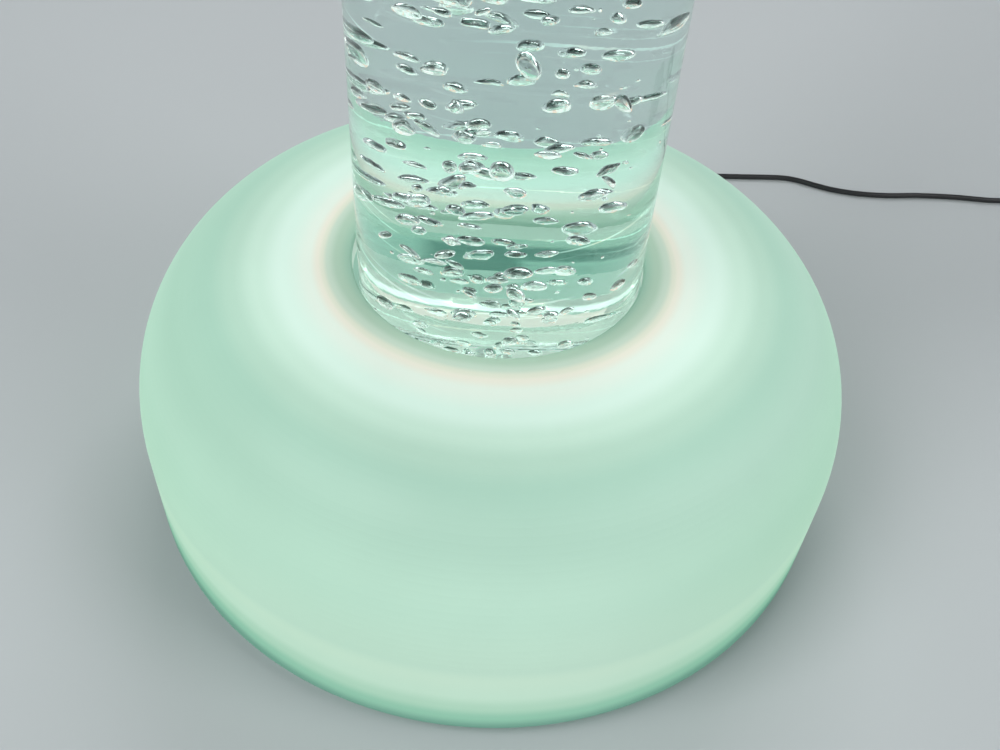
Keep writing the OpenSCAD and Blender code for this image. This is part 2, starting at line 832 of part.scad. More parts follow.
module outer_led_strip() {
    lugs_clear = hoop_z + lug_t + fit_gap;
    color([0.95, 0.95, 0.9]) translate([0, 0, lugs_clear])
        ring(hoop_r + hoop_t + strip_t, hoop_r + hoop_t + run_gap, strip_w);
}

module outer_leds() {
    rise = lug_t + fit_gap - strip_rise;
    color([1, 0.98, 0.85]) translate([0, 0, rise])
        rotate(180 / strip_leds) strip_lamps(hoop_r + hoop_t + strip_t + run_gap, false);
}

// ---- Drain ----

module drain_elbow() {
    z = flange_z - elbow_h;
    color([0.25, 0.26, 0.28]) translate([0, drain_at, 0]) difference() {
        union() {
            translate([0, 0, z]) cylinder(r = elbow_r, h = elbow_h);
            translate([0, 0, flange_z - 1]) cylinder(r = drain_r, h = flange_t + tube_floor_t);
            translate([0, 0, z + elbow_r]) rod_y(drain_r, elbow_l);
        }
        translate([0, 0, z + elbow_r]) cylinder(r = drain_bore_r, h = 60);
        translate([0, 0, z + elbow_r]) rod_y(drain_bore_r, elbow_l + e);
    }
}

module drain_hose() {
    a = [0, drain_at + elbow_l, flange_z - elbow_h + elbow_r];
    b = [drain_x, panel_y - valve_tail, drain_z];
    overlap = [0, 10, 0];
    route = [a - overlap, a, a + [-3, 12, 1], (a + b) / 2, b - [-3, 12, 1], b, b + overlap];
    color([0.75, 0.85, 0.85]) difference() {
        swept(route, drain_r + 0.6 + drain_hose_t, 12, 3);
        swept(concat([a - overlap - [0, e, 0]], [for (i = [1:5]) route[i]], [b + overlap + [0, e, 0]]),
            drain_r + 0.6, 12, 3);
    }
}

module drain_valve() {
    color([0.72, 0.74, 0.76]) translate([drain_x, 0, drain_z]) difference() {
        union() {
            translate([0, panel_y - valve_tail, 0]) rod_y(drain_r, valve_tail - valve_neck + e);
            translate([0, panel_y - valve_neck, 0]) rod_y(neck_r, valve_neck + panel_t + e);
            translate([0, panel_front, 0]) rod_y(valve_r, valve_body_l);
            translate([0, ball_y, 0]) cylinder(r = 4.5, h = valve_boss_h);
            translate([0, panel_front + valve_body_l - e, 0]) rod_y(drain_r, spout_l + e);
        }
        translate([0, panel_y - valve_tail - e, 0])
            rod_y(drain_bore_r, base_r - panel_y + valve_tail + 2 * e);
        translate([0, ball_y, 0]) sphere(ball_r + 0.1);
        translate([0, ball_y, 0]) cylinder(r = 2 + run_gap, h = valve_boss_h + e);
    }
}

module drain_nut() {
    color([0.25, 0.26, 0.28]) translate([drain_x, panel_y - 5, drain_z]) difference() {
        rotate([-90, 0, 0]) cylinder(r = neck_r + 4, h = 5, $fn = 6);
        translate([0, -e, 0]) rod_y(neck_r + run_gap, 5 + 2 * e);
    }
}

// Closed at rest: the ball's bore lies across the flow
module drain_ball() {
    color([0.86, 0.87, 0.88]) translate([drain_x, ball_y, drain_z]) difference() {
        sphere(ball_r);
        translate([-ball_r - e, 0, 0]) rod_x(drain_bore_r, 2 * ball_r + 2 * e);
        translate([-ball_r, -ball_r, ball_flat]) cube(2 * ball_r);
    }
}

module drain_lever() {
    color([0.75, 0.12, 0.1]) translate([drain_x, ball_y, drain_z]) {
        translate([0, 0, ball_flat]) cylinder(r = 2, h = valve_boss_h - ball_flat + 1);
        translate([0, 0, valve_boss_h + fit_gap]) linear_extrude(lever_t) {
            circle(4);
            translate([-lever_l + 3, -3]) square([lever_l - 3, 6]);
            translate([-lever_l + 3, 0]) circle(3);
        }
    }
}

// ---- Control board ----

module at_board_corners() {
    for (x = [-1, 1], y = [-1, 1])
        translate([board_x + x * (board_w / 2 - 5), y * (board_l / 2 - 5), 0]) children();
}

module control_board() {
    color([0.05, 0.35, 0.2]) difference() {
        translate([board_x, 0, board_z]) linear_extrude(board_t) rounded(board_w, board_l, 3);
        at_board_corners() translate([0, 0, board_z - e]) cylinder(r = 1.6, h = board_t + 2 * e);
    }
}

// Connectors, the controller chip, two capacitors and a coil
module board_parts() {
    translate([board_x, 0, board_z + board_t]) color([0.12, 0.12, 0.13]) {
        for (y = [-24, 8, 26]) translate([14, y - 5, 0]) cube([9, 10, 8]);
        for (x = [-17, -4]) translate([x, 33, 0]) cube([8, 7, 8]);
        translate([-8, -38, 0]) cube([16, 8, 9]);
        translate([-16, -12, 0]) cube([12, 12, 2]);
        for (y = [-22, 12]) translate([-14, y, 0]) cylinder(r = 5, h = 12);
        translate([2, 10, 0]) ring(8, 3.5, 7);
        translate([0, -18, 0]) cube([7, 9, 4]);
    }
}

module board_standoffs() {
    color("gold") at_board_corners() translate([0, 0, plate_top])
        ring(3.2, small_r + run_gap, board_z - plate_top);
}

module board_screws() {
    color("gainsboro") at_board_corners() translate([0, 0, board_z + board_t]) mirror([0, 0, 1]) {
        cylinder(r = small_r, h = board_t + 8);
        translate([0, 0, -small_head_h]) cylinder(r = 2.6, h = small_head_h);
    }
}

// Leads inside the base: jack, two buttons, light hoop and pump
module wiring() {
    edge = board_z + board_t + 4;
    socket_x = board_x + 23 + wire_gap;
    socket_y = 33 + 7 + wire_gap;
    back = panel_y - switch_l - wire_gap;
    jack_end = panel_y - jack_back - wire_gap;
    low = plate_top + wire_r + 0.6;
    color([0.55, 0.1, 0.1]) {
        swept([[jack_x, jack_end, rear_z], [jack_x + 1, jack_end - 8, rear_z - 1],
            [jack_x + 22, panel_y - 50, 34], [socket_x - 8, 88, edge + 6], [socket_x + 12, 52, edge],
            [socket_x + 7, 31, edge], [socket_x, 31, edge]], wire_r, 8, 4);
        for (i = [0, 1]) swept([[[mode_x, power_x][i], back, rear_z],
            [[mode_x, power_x][i] + 1, back - 8, rear_z - 1],
            [40 + 14 * i, panel_y - 44, 30 + 2 * i], [74 + 10 * i, 92, edge + 8],
            [board_x - 13 + 13 * i, socket_y + 10, edge], [board_x - 13 + 13 * i, socket_y, edge]],
            wire_r, 8, 4);
        swept([[hoop_r + hoop_t + 3, 0, hoop_z + 5], [hoop_r + hoop_t + 9, 0, hoop_z - 4],
            [flange_r + 7, 6, 60], [flange_r + 18, 12, 50], [socket_x + 8, 14, edge + 14],
            [socket_x + 7, 13, edge], [socket_x, 13, edge]], wire_r, 8, 4);
        swept([[pump_x, -pump_l / 2 + 1, air_z - 12], [pump_x + 1, -pump_l / 2 - 7, air_z - 14],
            [pump_x + 24, -84, low + 6], [-60, -122, low], [0, -134, low], [60, -118, low],
            [board_x - 24, -74, low + 4], [board_x - 1, -50, edge], [board_x, -38 - wire_gap, edge]],
            wire_r, 8, 4);
    }
}

// ---- Rear panel ----

module at_panel_corners() {
    for (x = [-1, 1], z = [-1, 1])
        translate([x * (pocket_w - ledge - 1) / 2, 0, rear_z + z * (pocket_h - ledge - 1) / 2])
            children();
}

module rear_panel() {
    color([0.1, 0.1, 0.11]) difference() {
        translate([0, panel_front, rear_z]) rotate([90, 0, 0]) linear_extrude(panel_t)
            rounded(pocket_w - 2 * fit_gap, pocket_h - 2 * fit_gap, 1);
        translate([0, panel_y - e, 0]) {
            translate([drain_x, 0, drain_z]) rod_y(neck_r + run_gap, panel_t + 2 * e);
            for (x = [mode_x, power_x]) translate([x, 0, rear_z])
                rod_y(button_r + fit_gap, panel_t + 2 * e);
            translate([jack_x, 0, rear_z]) rod_y(jack_r + run_gap, panel_t + 2 * e);
            at_panel_corners() rod_y(1.7, panel_t + 2 * e);
        }
    }
}

module panel_screws() {
    color("silver") at_panel_corners() translate([0, panel_y - ledge + 1, 0]) {
        rod_y(stud_r, panel_t + ledge - 1);
        translate([0, panel_t + ledge - 1, 0]) rotate([-90, 0, 0])
            cylinder(r1 = 2.5, r2 = 1.8, h = small_head_h);
    }
}

module push_button(x) {
    translate([x, panel_y, rear_z]) {
        translate([0, -button_back, 0]) rod_y(button_r, button_back + panel_t + button_proud - 1);
        translate([0, panel_t + button_proud - 1, 0])
            rotate([-90, 0, 0]) cylinder(r1 = button_r, r2 = button_r - 1, h = 1);
        translate([0, -button_back - stem_l, 0]) rod_y(stem_r, stem_l + e);
    }
}

module power_button() {
    color([0.85, 0.86, 0.86]) push_button(power_x);
}

module mode_button() {
    color([0.75, 0.77, 0.78]) push_button(mode_x);
}

// Each switch hangs from a square collar that seats on the back of the panel
module button_switches() {
    free = button_back + button_travel + 1;
    color([0.15, 0.15, 0.16]) for (x = [mode_x, power_x])
        translate([x, panel_y, rear_z]) difference() {
            translate([-switch_w / 2, -switch_l, -switch_w / 2]) cube([switch_w, switch_l, switch_w]);
            translate([0, -free, 0]) rod_y(button_r + fit_gap, free + e);
            translate([0, -button_back - stem_l - button_travel - 1, 0]) rod_y(stem_r + 0.08, 20);
        }
}

module dc_jack() {
    color([0.12, 0.12, 0.13]) translate([jack_x, 0, rear_z]) {
        difference() {
            union() {
                translate([0, panel_y - jack_back, 0]) rod_y(jack_r, jack_back + panel_t + jack_proud);
                translate([0, panel_y - 4, 0]) rod_y(8, 4);
            }
            translate([0, panel_y - 12, 0]) rod_y(plug_barrel_r + 0.2, 40);
        }
        translate([0, panel_y - 13, 0]) rod_y(1, 13 + panel_t);
    }
}

module jack_nut() {
    color("silver") translate([jack_x, panel_front, rear_z]) difference() {
        rotate([-90, 0, 0]) cylinder(r = 8, h = 2.4, $fn = 6);
        translate([0, -e, 0]) rod_y(jack_r + run_gap, 4);
    }
}

// ---- Cable ----

module dc_plug() {
    color([0.07, 0.07, 0.08]) translate([jack_x, 0, rear_z]) difference() {
        union() {
            translate([0, panel_y - 8, 0]) rod_y(plug_barrel_r, plug_y - panel_y + 8 + e);
            translate([0, plug_y, 0]) rod_y(plug_r, plug_l);
            translate([0, relief_y, 0]) rotate([-90, 0, 0])
                cylinder(r1 = plug_r - 1, r2 = cord_r + 0.8, h = relief_l);
        }
        translate([0, panel_y - 8 - e, 0]) rod_y(1.25, 14);
    }
}

module power_cord() {
    color([0.06, 0.06, 0.06]) {
        swept(cord_route, cord_r, 10, 2);
        swept(tail_route, cord_r, 10, 3);
    }
}

module cord_coil() {
    color([0.06, 0.06, 0.06]) translate([coil_at.x, coil_at.y, coil_band / 2])
        rotate_extrude() translate([coil_d / 2, 0]) rounded(coil_band, coil_band, cord_r);
}

module power_adapter() {
    color([0.08, 0.08, 0.09]) translate([adapter_at.x, adapter_at.y, adapter_h / 2]) {
        rotate([90, 0, 0]) linear_extrude(adapter_l, center = true)
            rounded(adapter_w, adapter_h, adapter_r);
        translate([0, adapter_l / 2, 0]) rotate([-90, 0, 0])
            cylinder(r1 = 4.5, r2 = cord_r + 0.8, h = adapter_relief_l);
    }
}

module adapter_pins() {
    color("silver") for (x = [-1, 1])
        translate([adapter_at.x + x * pin_pitch / 2, adapter_at.y - adapter_l / 2 - pin_l, adapter_h / 2])
            rod_y(pin_r, pin_l);
}

base_shell();
base_plate();
plate_screws();
rubber_feet();
tube();
tube_floor();
tube_flange();
flange_standoffs();
flange_bolts();
standoff_screws();
tube_seal();
water_column();
top_cap();
air_chamber();
air_nozzles();
check_valve();
air_hoses();
pump_housing();
pump_cover();
pump_cover_screws();
pump_feet();
pump_core();
pump_coil();
pump_arm();
pump_magnet();
pump_diaphragm();
pump_valve_block();
led_hoop();
hoop_posts();
hoop_nuts();
inner_led_strip();
inner_leds();
outer_led_strip();
outer_leds();
drain_elbow();
drain_hose();
drain_valve();
drain_nut();
drain_ball();
drain_lever();
control_board();
board_parts();
board_standoffs();
board_screws();
wiring();
rear_panel();
panel_screws();
power_button();
mode_button();
button_switches();
dc_jack();
jack_nut();
dc_plug();
power_cord();
cord_coil();
power_adapter();
adapter_pins();
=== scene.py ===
"""Looks of the bubble tube floor lamp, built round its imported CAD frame.

Lengths are in metres, in the frame's own axes: the origin is on the floor under the tube,
+Z is up and +Y is the rear, where the lead leaves. Colours are written as sRGB, 0 to 255.
"""
import json
import math
import random
from functools import partial

import bmesh
import bpy
import numpy as np
from mathutils import Matrix, Vector


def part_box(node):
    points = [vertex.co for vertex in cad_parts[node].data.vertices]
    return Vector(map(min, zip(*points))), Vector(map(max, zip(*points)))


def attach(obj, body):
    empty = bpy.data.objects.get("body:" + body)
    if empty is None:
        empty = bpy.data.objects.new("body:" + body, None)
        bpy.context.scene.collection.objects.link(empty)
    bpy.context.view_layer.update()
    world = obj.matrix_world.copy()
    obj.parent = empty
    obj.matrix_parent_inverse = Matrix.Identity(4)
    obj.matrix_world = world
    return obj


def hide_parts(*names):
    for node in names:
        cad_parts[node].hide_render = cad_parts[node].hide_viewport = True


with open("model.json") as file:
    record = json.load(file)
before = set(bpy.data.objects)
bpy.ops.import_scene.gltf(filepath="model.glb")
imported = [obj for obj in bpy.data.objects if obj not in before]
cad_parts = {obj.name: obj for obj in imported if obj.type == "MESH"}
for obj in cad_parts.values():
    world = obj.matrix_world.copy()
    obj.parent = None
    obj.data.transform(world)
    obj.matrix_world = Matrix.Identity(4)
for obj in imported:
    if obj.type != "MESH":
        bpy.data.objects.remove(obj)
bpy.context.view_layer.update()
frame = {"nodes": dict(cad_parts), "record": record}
nodes = frame["nodes"]
MM = 0.001
WHITE = (1, 1, 1, 1)
NOISE_SPAN = (0.3, 0.7)                       # values that noise mostly takes

# Camera, solved from the outlines of the tube, the hole and the base
EYE = (0, -0.4323, 0.5132)
PITCH, HEADING, ROLL = 46.48, 0.59, 4.14      # degrees: down, clockwise from +Y, clockwise
LENS, SENSOR = 38.16, 36.0                    # mm

# Sizes read from the frame
SHELL_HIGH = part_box("base_shell")[1]
TUBE_LOW, TUBE_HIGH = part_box("tube")
WATER_LOW, WATER_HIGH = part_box("water_column")
PLATE_TOP, FLANGE_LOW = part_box("base_plate")[1].z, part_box("tube_flange")[0].z
BASE_R, BASE_H = SHELL_HIGH.x, SHELL_HIGH.z
TUBE_R, BORE_R = TUBE_HIGH.x, WATER_HIGH.x
FLOOR_TOP, WATERLINE = WATER_LOW.z, WATER_HIGH.z
WALL_H, FLAT_R = 68 * MM, 127 * MM            # top of the upright wall, edge of the flat top
HOLE_R, HOLE_AT = 77.2 * MM, (-1 * MM, 1.5 * MM)     # the hole in the shell is a little off the tube
NOZZLE_RING_R, NOZZLES = 38 * MM, 5
LINE_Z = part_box("inner_led_strip")[0].z + 1.8 * MM   # middle of the bright line of light

# Indices of refraction, each seen from the side that light comes from
ACRYLIC, WATER, AIR_IN_WATER = 1.49, 1.33, 1 / 1.33
WATER_TINT = ((0.03, 0.775, 0.6, 1), 1.9)     # colour and density of what the water absorbs
WET = 0.2 * MM                                # the water's faces reach this far into the acrylic

CORD_R = 2 * MM
# The lead's way over the floor, from the plug to the coil, as in the CAD source
ROUTE = [
    (0.042, 0.219, 0.040), (0.042, 0.227, 0.039), (0.043, 0.236, 0.035), (0.046, 0.245, 0.0275),
    (0.051, 0.253, 0.019), (0.058, 0.261, 0.0115), (0.068, 0.269, 0.0062), (0.082, 0.277, 0.0034),
    (0.100, 0.284, 0.0024), (0.128, 0.290, 0.0021), (0.156, 0.293, 0.0021), (0.184, 0.295, 0.0021),
    (0.210, 0.297, 0.0021), (0.228, 0.298, 0.0021), (0.240, 0.296, 0.0021), (0.253, 0.291, 0.0021),
    (0.268, 0.286, 0.0021), (0.288, 0.283, 0.0021), (0.312, 0.283, 0.0021), (0.338, 0.286, 0.0021),
    (0.368, 0.287, 0.0021), (0.400, 0.286, 0.0021), (0.424, 0.290, 0.0021)]
# Its way from the coil to the adapter
TAIL = [
    (0.481, 0.264, 0.0092), (0.479, 0.252, 0.0064), (0.4735, 0.239, 0.003), (0.467, 0.227, 0.0026),
    (0.462, 0.216, 0.0054), (0.459, 0.205, 0.0114), (0.459, 0.193, 0.017)]
COIL_AT = (0.455, 0.275)
COIL_R, COIL_MID = 22 * MM, 6.1 * MM
COIL_START = 115                              # degrees from +X, where the lead runs into the coil
COIL_TURNS = 8 + 115 / 360                    # clockwise
# Places of the turns in the coil's section, in cord widths outwards and upwards
COIL_CELLS = [(1, -1), (0, -1), (-1, -1), (-1, 0), (-1, 1), (0, 1), (0, 0), (1, 0), (1, 1)]
TIE_AT = 50                                   # degrees from +X
TIE_T, TIE_W = 0.6 * MM, 7 * MM

SHELL_DIFFUSE, SHELL_GLOW = 0.50, 0.55        # shares of the shell's colour that it reflects and gives off
INSIDE_GLOW = 0.72                            # that share on the shell's inside
# Colours that the shell's outer skin glows in and reflects, painted light and shade, by the millimetres from
# the lamp's axis outwards and down the wall
SHELL_TONES = [
    (71, (150, 194, 172)), (79, (173, 204, 182)), (84, (197, 218, 200)), (88, (223, 229, 210)),
    (91, (233, 234, 218)), (98, (228, 242, 229)), (114, (216, 243, 229)), (127, (199, 231, 213)),
    (140, (182, 217, 198)), (152, (172, 211, 192)), (170, (178, 215, 196)), (190, (190, 226, 206)),
    (207, (204, 235, 213)), (221, (201, 234, 212)), (233, (181, 222, 197)), (243, (149, 205, 178)),
    (254, (108, 162, 142))]
SIDE_SHADE = (0.82, 0.93, 0.86, 1)                # painted shade: what the skin's colour is multiplied by at its sides

BUBBLES, TINY_BUBBLES = 1050, 220
NEW_HALF = (2.0, 3.2)                         # mm, least and most half width of a bubble at the nozzles
GROWN_HALF = (2.9, 7.6, 4.7)                  # mm, least, most and usual half width higher up
FINER_BELOW = 0.36                            # bubbles lower than this have finer meshes

FLOOR_HALF = 6.0
FLOOR_FADE = (0.75, 2.4)                      # distances between which the floor takes on the walls' colour
# Name, place, point that it faces, width and height, watts
LIGHTS = [
    ("key", (-2.3, -1.6, 3.2), (0, 0, 0.2), (2.1, 2.1), 98),
    ("fill", (2.6, -1.05, 2.65), (0, 0, 0.2), (1.6, 2.3), 46),
    ("back", (0.5, 2.8, 3.1), (0, 0, 0.3), (2.8, 1.4), 64)]


# ---- Helpers ----

def linear(red, green, blue):
    """An sRGB colour as linear RGBA."""
    def one(v):
        v /= 255
        return v / 12.92 if v <= 0.04045 else ((v + 0.055) / 1.055) ** 2.4
    return (one(red), one(green), one(blue), 1.0)


WALLS = linear(196, 202, 204)                 # the studio round the lamp


def slot_colour(name):
    """Base colour of a material slot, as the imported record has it."""
    for row in frame["record"]["materials"]:
        if row["slot"] == name:
            return tuple(row["base_color"][:3]) + (1.0,)
    raise KeyError(name)


def smoothstep(t):
    t = min(max(t, 0.0), 1.0)
    return t * t * (3 - 2 * t)


class Shade:
    """A material's node tree, built a node at a time."""

    def __init__(self, name):
        self.material = bpy.data.materials.new(name)
        self.material.use_nodes = True
        self.tree = self.material.node_tree
        self.tree.nodes.clear()
        self.place = self.put("TexCoord").outputs["Object"]

    def put(self, kind, inputs=None, **fields):
        """Adds a node. An input takes a number, a colour, a node or a socket."""
        node = self.tree.nodes.new("ShaderNode" + kind)
        for field, value in fields.items():
            setattr(node, field, value)
        for key, value in (inputs or {}).items():
            if isinstance(value, bpy.types.Node):
                value = value.outputs[0]
            if isinstance(value, bpy.types.NodeSocket):
                self.tree.links.new(value, node.inputs[key])
            else:
                node.inputs[key].default_value = value
        return node

    def math(self, operation, a, b=0.0, c=0.0):
        return self.put("Math", {0: a, 1: b, 2: c}, operation=operation)

    def times(self, first, *others):
        """The product of some numbers. With masks of 0 and 1 it says where all of them are 1."""
        for other in others:
            first = self.math("MULTIPLY", first, other)
        return first

    def inverse(self, mask):
        return self.math("SUBTRACT", 1.0, mask)

    def apart(self, a, b):
        """How far two numbers are apart."""
        return self.math("ABSOLUTE", self.math("SUBTRACT", a, b))

    def below(self, a, b):
        """1 where a is less than b, and else 0."""
        return self.math("LESS_THAN", a, b)

    def above(self, a, b):
        return self.math("GREATER_THAN", a, b)

    def length(self, a, b):
        """Length of the vector (a, b)."""
        return self.math("SQRT", self.math("ADD", self.times(a, a), self.times(b, b)))

    def mix(self, factor, a, b, blend="MIX"):
        node = self.put("Mix", {0: factor, 6: a, 7: b}, data_type="RGBA", blend_type=blend)
        return node.outputs[2]

    def tint(self, colour, by):
        """A colour times another colour or a number."""
        return self.mix(1.0, colour, by, "MULTIPLY")

    def ramp(self, value, stops, easing="LINEAR"):
        """stops: (place from 0 to 1, linear colour), in order."""
        node = self.put("ValToRGB", {0: value})
        band = node.color_ramp
        band.interpolation = easing
        for k, (at, colour) in enumerate(stops):
            stop = band.elements[k] if k < 2 else band.elements.new(at)
            stop.position, stop.color = at, colour
        return node

    def noise(self, size, detail=2.0, stretch=(1, 1, 1)):
        """Noise with features of that size, longer along an axis by its stretch."""
        squeezed = self.put("Mapping", {"Vector": self.place, "Scale": tuple(1 / s for s in stretch)})
        return self.put("TexNoise", {"Vector": squeezed, "Scale": 1 / size, "Detail": detail})

    def span(self, value, low, high, to_low=0.0, to_high=1.0):
        """Goes evenly from to_low to to_high as the value goes from low to high, and stays there beyond."""
        return self.put("MapRange", {0: value, 1: low, 2: high, 3: to_low, 4: to_high})

    def vary(self, noise, to_low, to_high):
        """A span over the usual values of noise."""
        return self.span(noise, *NOISE_SPAN, to_low, to_high)

    def bump(self, height, depth, after=None):
        """A bump of that depth, on top of another bump."""
        inputs = {"Height": height, "Distance": depth, "Strength": 1.0}
        if after is not None:
            inputs["Normal"] = after
        return self.put("Bump", inputs)

    def axes(self):
        return self.put("SeparateXYZ", {0: self.place}).outputs

    def radius_height(self, centre=(0, 0)):
        """Distance from the lamp's axis, or from an upright line beside it, and height above the floor."""
        x, y, z = self.axes()
        return self.length(self.math("SUBTRACT", x, centre[0]), self.math("SUBTRACT", y, centre[1])), z

    def done(self, shader, volume=None):
        inputs = {"Surface": shader}
        if volume is not None:
            inputs["Volume"] = volume
        self.put("OutputMaterial", inputs)
        return self.material


def mesh_of(name, points, faces):
    mesh = bpy.data.meshes.new(name)
    mesh.from_pydata([tuple(p) for p in points], [], [tuple(f) for f in faces])
    return mesh


def add_object(name, mesh, materials):
    for material in materials:
        mesh.materials.append(material)
    mesh.polygons.foreach_set("use_smooth", [True] * len(mesh.polygons))
    obj = bpy.data.objects.new(name, mesh)
    bpy.context.scene.collection.objects.link(obj)
    return obj


def lathe(name, profile, bands, materials, ring, segments=256):
    """A closed surface of revolution. The profile runs anticlockwise, radius to the right and height up.
    bands[k] is the material of the faces from point k to the next. A ring's last point joins its first."""
    points, rows = [], []
    for radius, height in profile:
        turns = [2 * math.pi * k / segments for k in range(segments if radius > 0 else 1)]
        rows.append([len(points) + k for k in range(len(turns))])
        points += [(radius * math.cos(t), radius * math.sin(t), height) for t in turns]
    faces, marks = [], []
    for n in range(len(rows) if ring else len(rows) - 1):
        low, high = rows[n], rows[(n + 1) % len(rows)]
        for k in range(segments):
            m = (k + 1) % segments
            if len(low) == 1:
                faces.append((low[0], high[m], high[k]))
            elif len(high) == 1:
                faces.append((low[k], low[m], high[0]))
            else:
                faces.append((low[k], low[m], high[m], high[k]))
            marks.append(bands[n])
    obj = add_object(name, mesh_of(name, points, faces), materials)
    obj.data.polygons.foreach_set("material_index", marks)
    obj.data.set_sharp_from_angle(angle=math.radians(35))
    return obj


# ---- Finishes ----

def moulded(name, colour, roughness=0.45, grain=0.5 * MM, depth=0.02 * MM):
    """Moulded plastic: a spark-eroded grain, slight clouds of tone and gloss."""
    s = Shade(name)
    cloud = s.noise(14 * MM, 3)
    return s.done(s.put("BsdfPrincipled", {
        "Base Color": s.tint(colour, s.vary(cloud, 0.96, 1.0)),
        "Roughness": s.vary(cloud, roughness - 0.06, roughness + 0.06),
        "Normal": s.bump(s.noise(grain, 3), depth)}))


def adapter_case(name, colour):
    """Moulded case: a fine joint round its middle, a grained body and a smooth band by the pins."""
    s = Shade(name)
    low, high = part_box("power_adapter")
    x, y, z = s.axes()
    joint = s.below(s.apart(z, (low.z + high.z) / 2), 0.3 * MM)
    end = low.y + 9 * MM                       # of the smooth band
    smooth = s.below(y, end)
    edge = s.below(s.apart(y, end), 0.25 * MM)
    groove = s.math("MAXIMUM", joint, edge)
    cloud = s.noise(14 * MM, 3)
    grain = s.bump(s.noise(0.8 * MM, 3), 0.06 * MM)
    cut = s.bump(s.inverse(groove), 0.4 * MM, grain)
    return s.done(s.put("BsdfPrincipled", {
        "Base Color": s.mix(groove, s.tint(colour, s.vary(cloud, 0.9, 1.06)), linear(16, 16, 17)),
        "Roughness": s.math("SUBTRACT", s.vary(cloud, 0.46, 0.58), s.times(smooth, 0.2)),
        "Normal": cut}))


def metal(name, colour, roughness=0.3, stretch=(12, 1, 1)):
    """Drawn or turned metal: fine lines along one axis, and duller patches."""
    s = Shade(name)
    lines, patches = s.noise(0.25 * MM, 3, stretch), s.noise(9 * MM, 3)
    gloss = s.math("ADD", s.vary(lines, -0.07, 0.07),
                   s.span(patches, 0.35, 0.7, roughness - 0.05, roughness + 0.1))
    return s.done(s.put("BsdfPrincipled", {
        "Base Color": s.tint(colour, s.vary(patches, 1.0, 0.86)), "Metallic": 1.0,
        "Roughness": gloss, "Normal": s.bump(lines, 0.01 * MM)}))


def rubber(name, colour):
    """Black rubber with a bloom of dust."""
    s = Shade(name)
    dust = s.span(s.noise(5 * MM, 4), 0.45, 0.75, 0.0, 0.22)
    return s.done(s.put("BsdfPrincipled", {
        "Base Color": s.mix(dust, colour, linear(96, 98, 98)),
        "Roughness": s.span(dust, 0.0, 0.22, 0.7, 0.85), "Normal": s.bump(s.noise(0.4 * MM, 3), 0.03 * MM)}))


def silicone(name, colour):
    """Milky hose that lets some light through."""
    s = Shade(name)
    cloud = s.noise(6 * MM, 2)
    return s.done(s.put("BsdfPrincipled", {
        "Base Color": s.tint(colour, s.vary(cloud, 0.9, 1.05)),
        "Roughness": s.vary(cloud, 0.28, 0.4), "Subsurface Weight": 0.35,
        "Subsurface Radius": (3 * MM, 3 * MM, 3 * MM), "Normal": s.bump(s.noise(1 * MM, 2), 0.02 * MM)}))


def layered(name, colour, pitch, axis, metallic, roughness):
    """Thin layers or turns side by side along an axis: a laminated core, or a winding."""
    s = Shade(name)
    wave = s.put("TexWave", {"Vector": s.place, "Scale": 2 * math.pi / (20 * pitch), "Distortion": 0.4,
                             "Detail": 1.0}, bands_direction=axis)
    return s.done(s.put("BsdfPrincipled", {
        "Base Color": s.tint(colour, s.span(wave, 0.0, 0.5, 0.45, 1.0)), "Metallic": metallic,
        "Roughness": s.vary(s.noise(4 * MM, 3), roughness - 0.08, roughness + 0.1),
        "Normal": s.bump(wave, 0.3 * pitch)}))


def circuit_board(name, colour):
    """Green lacquer over copper tracks and fields."""
    s = Shade(name)
    fields = s.put("TexBrick", {
        "Vector": s.place, "Scale": 1 / (9 * MM), "Mortar Size": 0.05, "Color1": WHITE,
        "Color2": (0.8, 0.8, 0.8, 1), "Mortar": (0.1, 0.1, 0.1, 1)})
    return s.done(s.put("BsdfPrincipled", {
        "Base Color": s.mix(0.35, colour, s.tint(colour, fields)), "Roughness": 0.35,
        "Coat Weight": 0.6, "Coat Roughness": 0.15, "Normal": s.bump(fields, 0.03 * MM)}))


def shining(name, colour, glow, strength, middle):
    """A strip or lamp that shines in a narrow line at the height of its middle, and dimly elsewhere."""
    s = Shade(name)
    away = s.apart(s.radius_height()[1], middle)
    line = s.span(away, 2 * MM, 3.6 * MM, strength, 0.25 * strength)
    uneven = s.vary(s.noise(4 * MM, 2), 0.9, 1.06)
    return s.done(s.put("BsdfPrincipled", {
        "Base Color": colour, "Roughness": 0.4, "Emission Color": glow,
        "Emission Strength": s.times(line, uneven)}))


def lit_white(name, colour, glow, strength):
    """White plastic that stands in the lamps' light, painted on it as a glow."""
    s = Shade(name)
    cloud = s.noise(30 * MM, 3)
    return s.done(s.put("BsdfPrincipled", {
        "Base Color": s.tint(colour, s.vary(cloud, 0.95, 1.03)), "Roughness": 0.45,
        "Normal": s.bump(s.noise(0.6 * MM, 2), 0.015 * MM), "Emission Color": glow,
        "Emission Strength": s.vary(cloud, 0.9 * strength, 1.1 * strength)}))


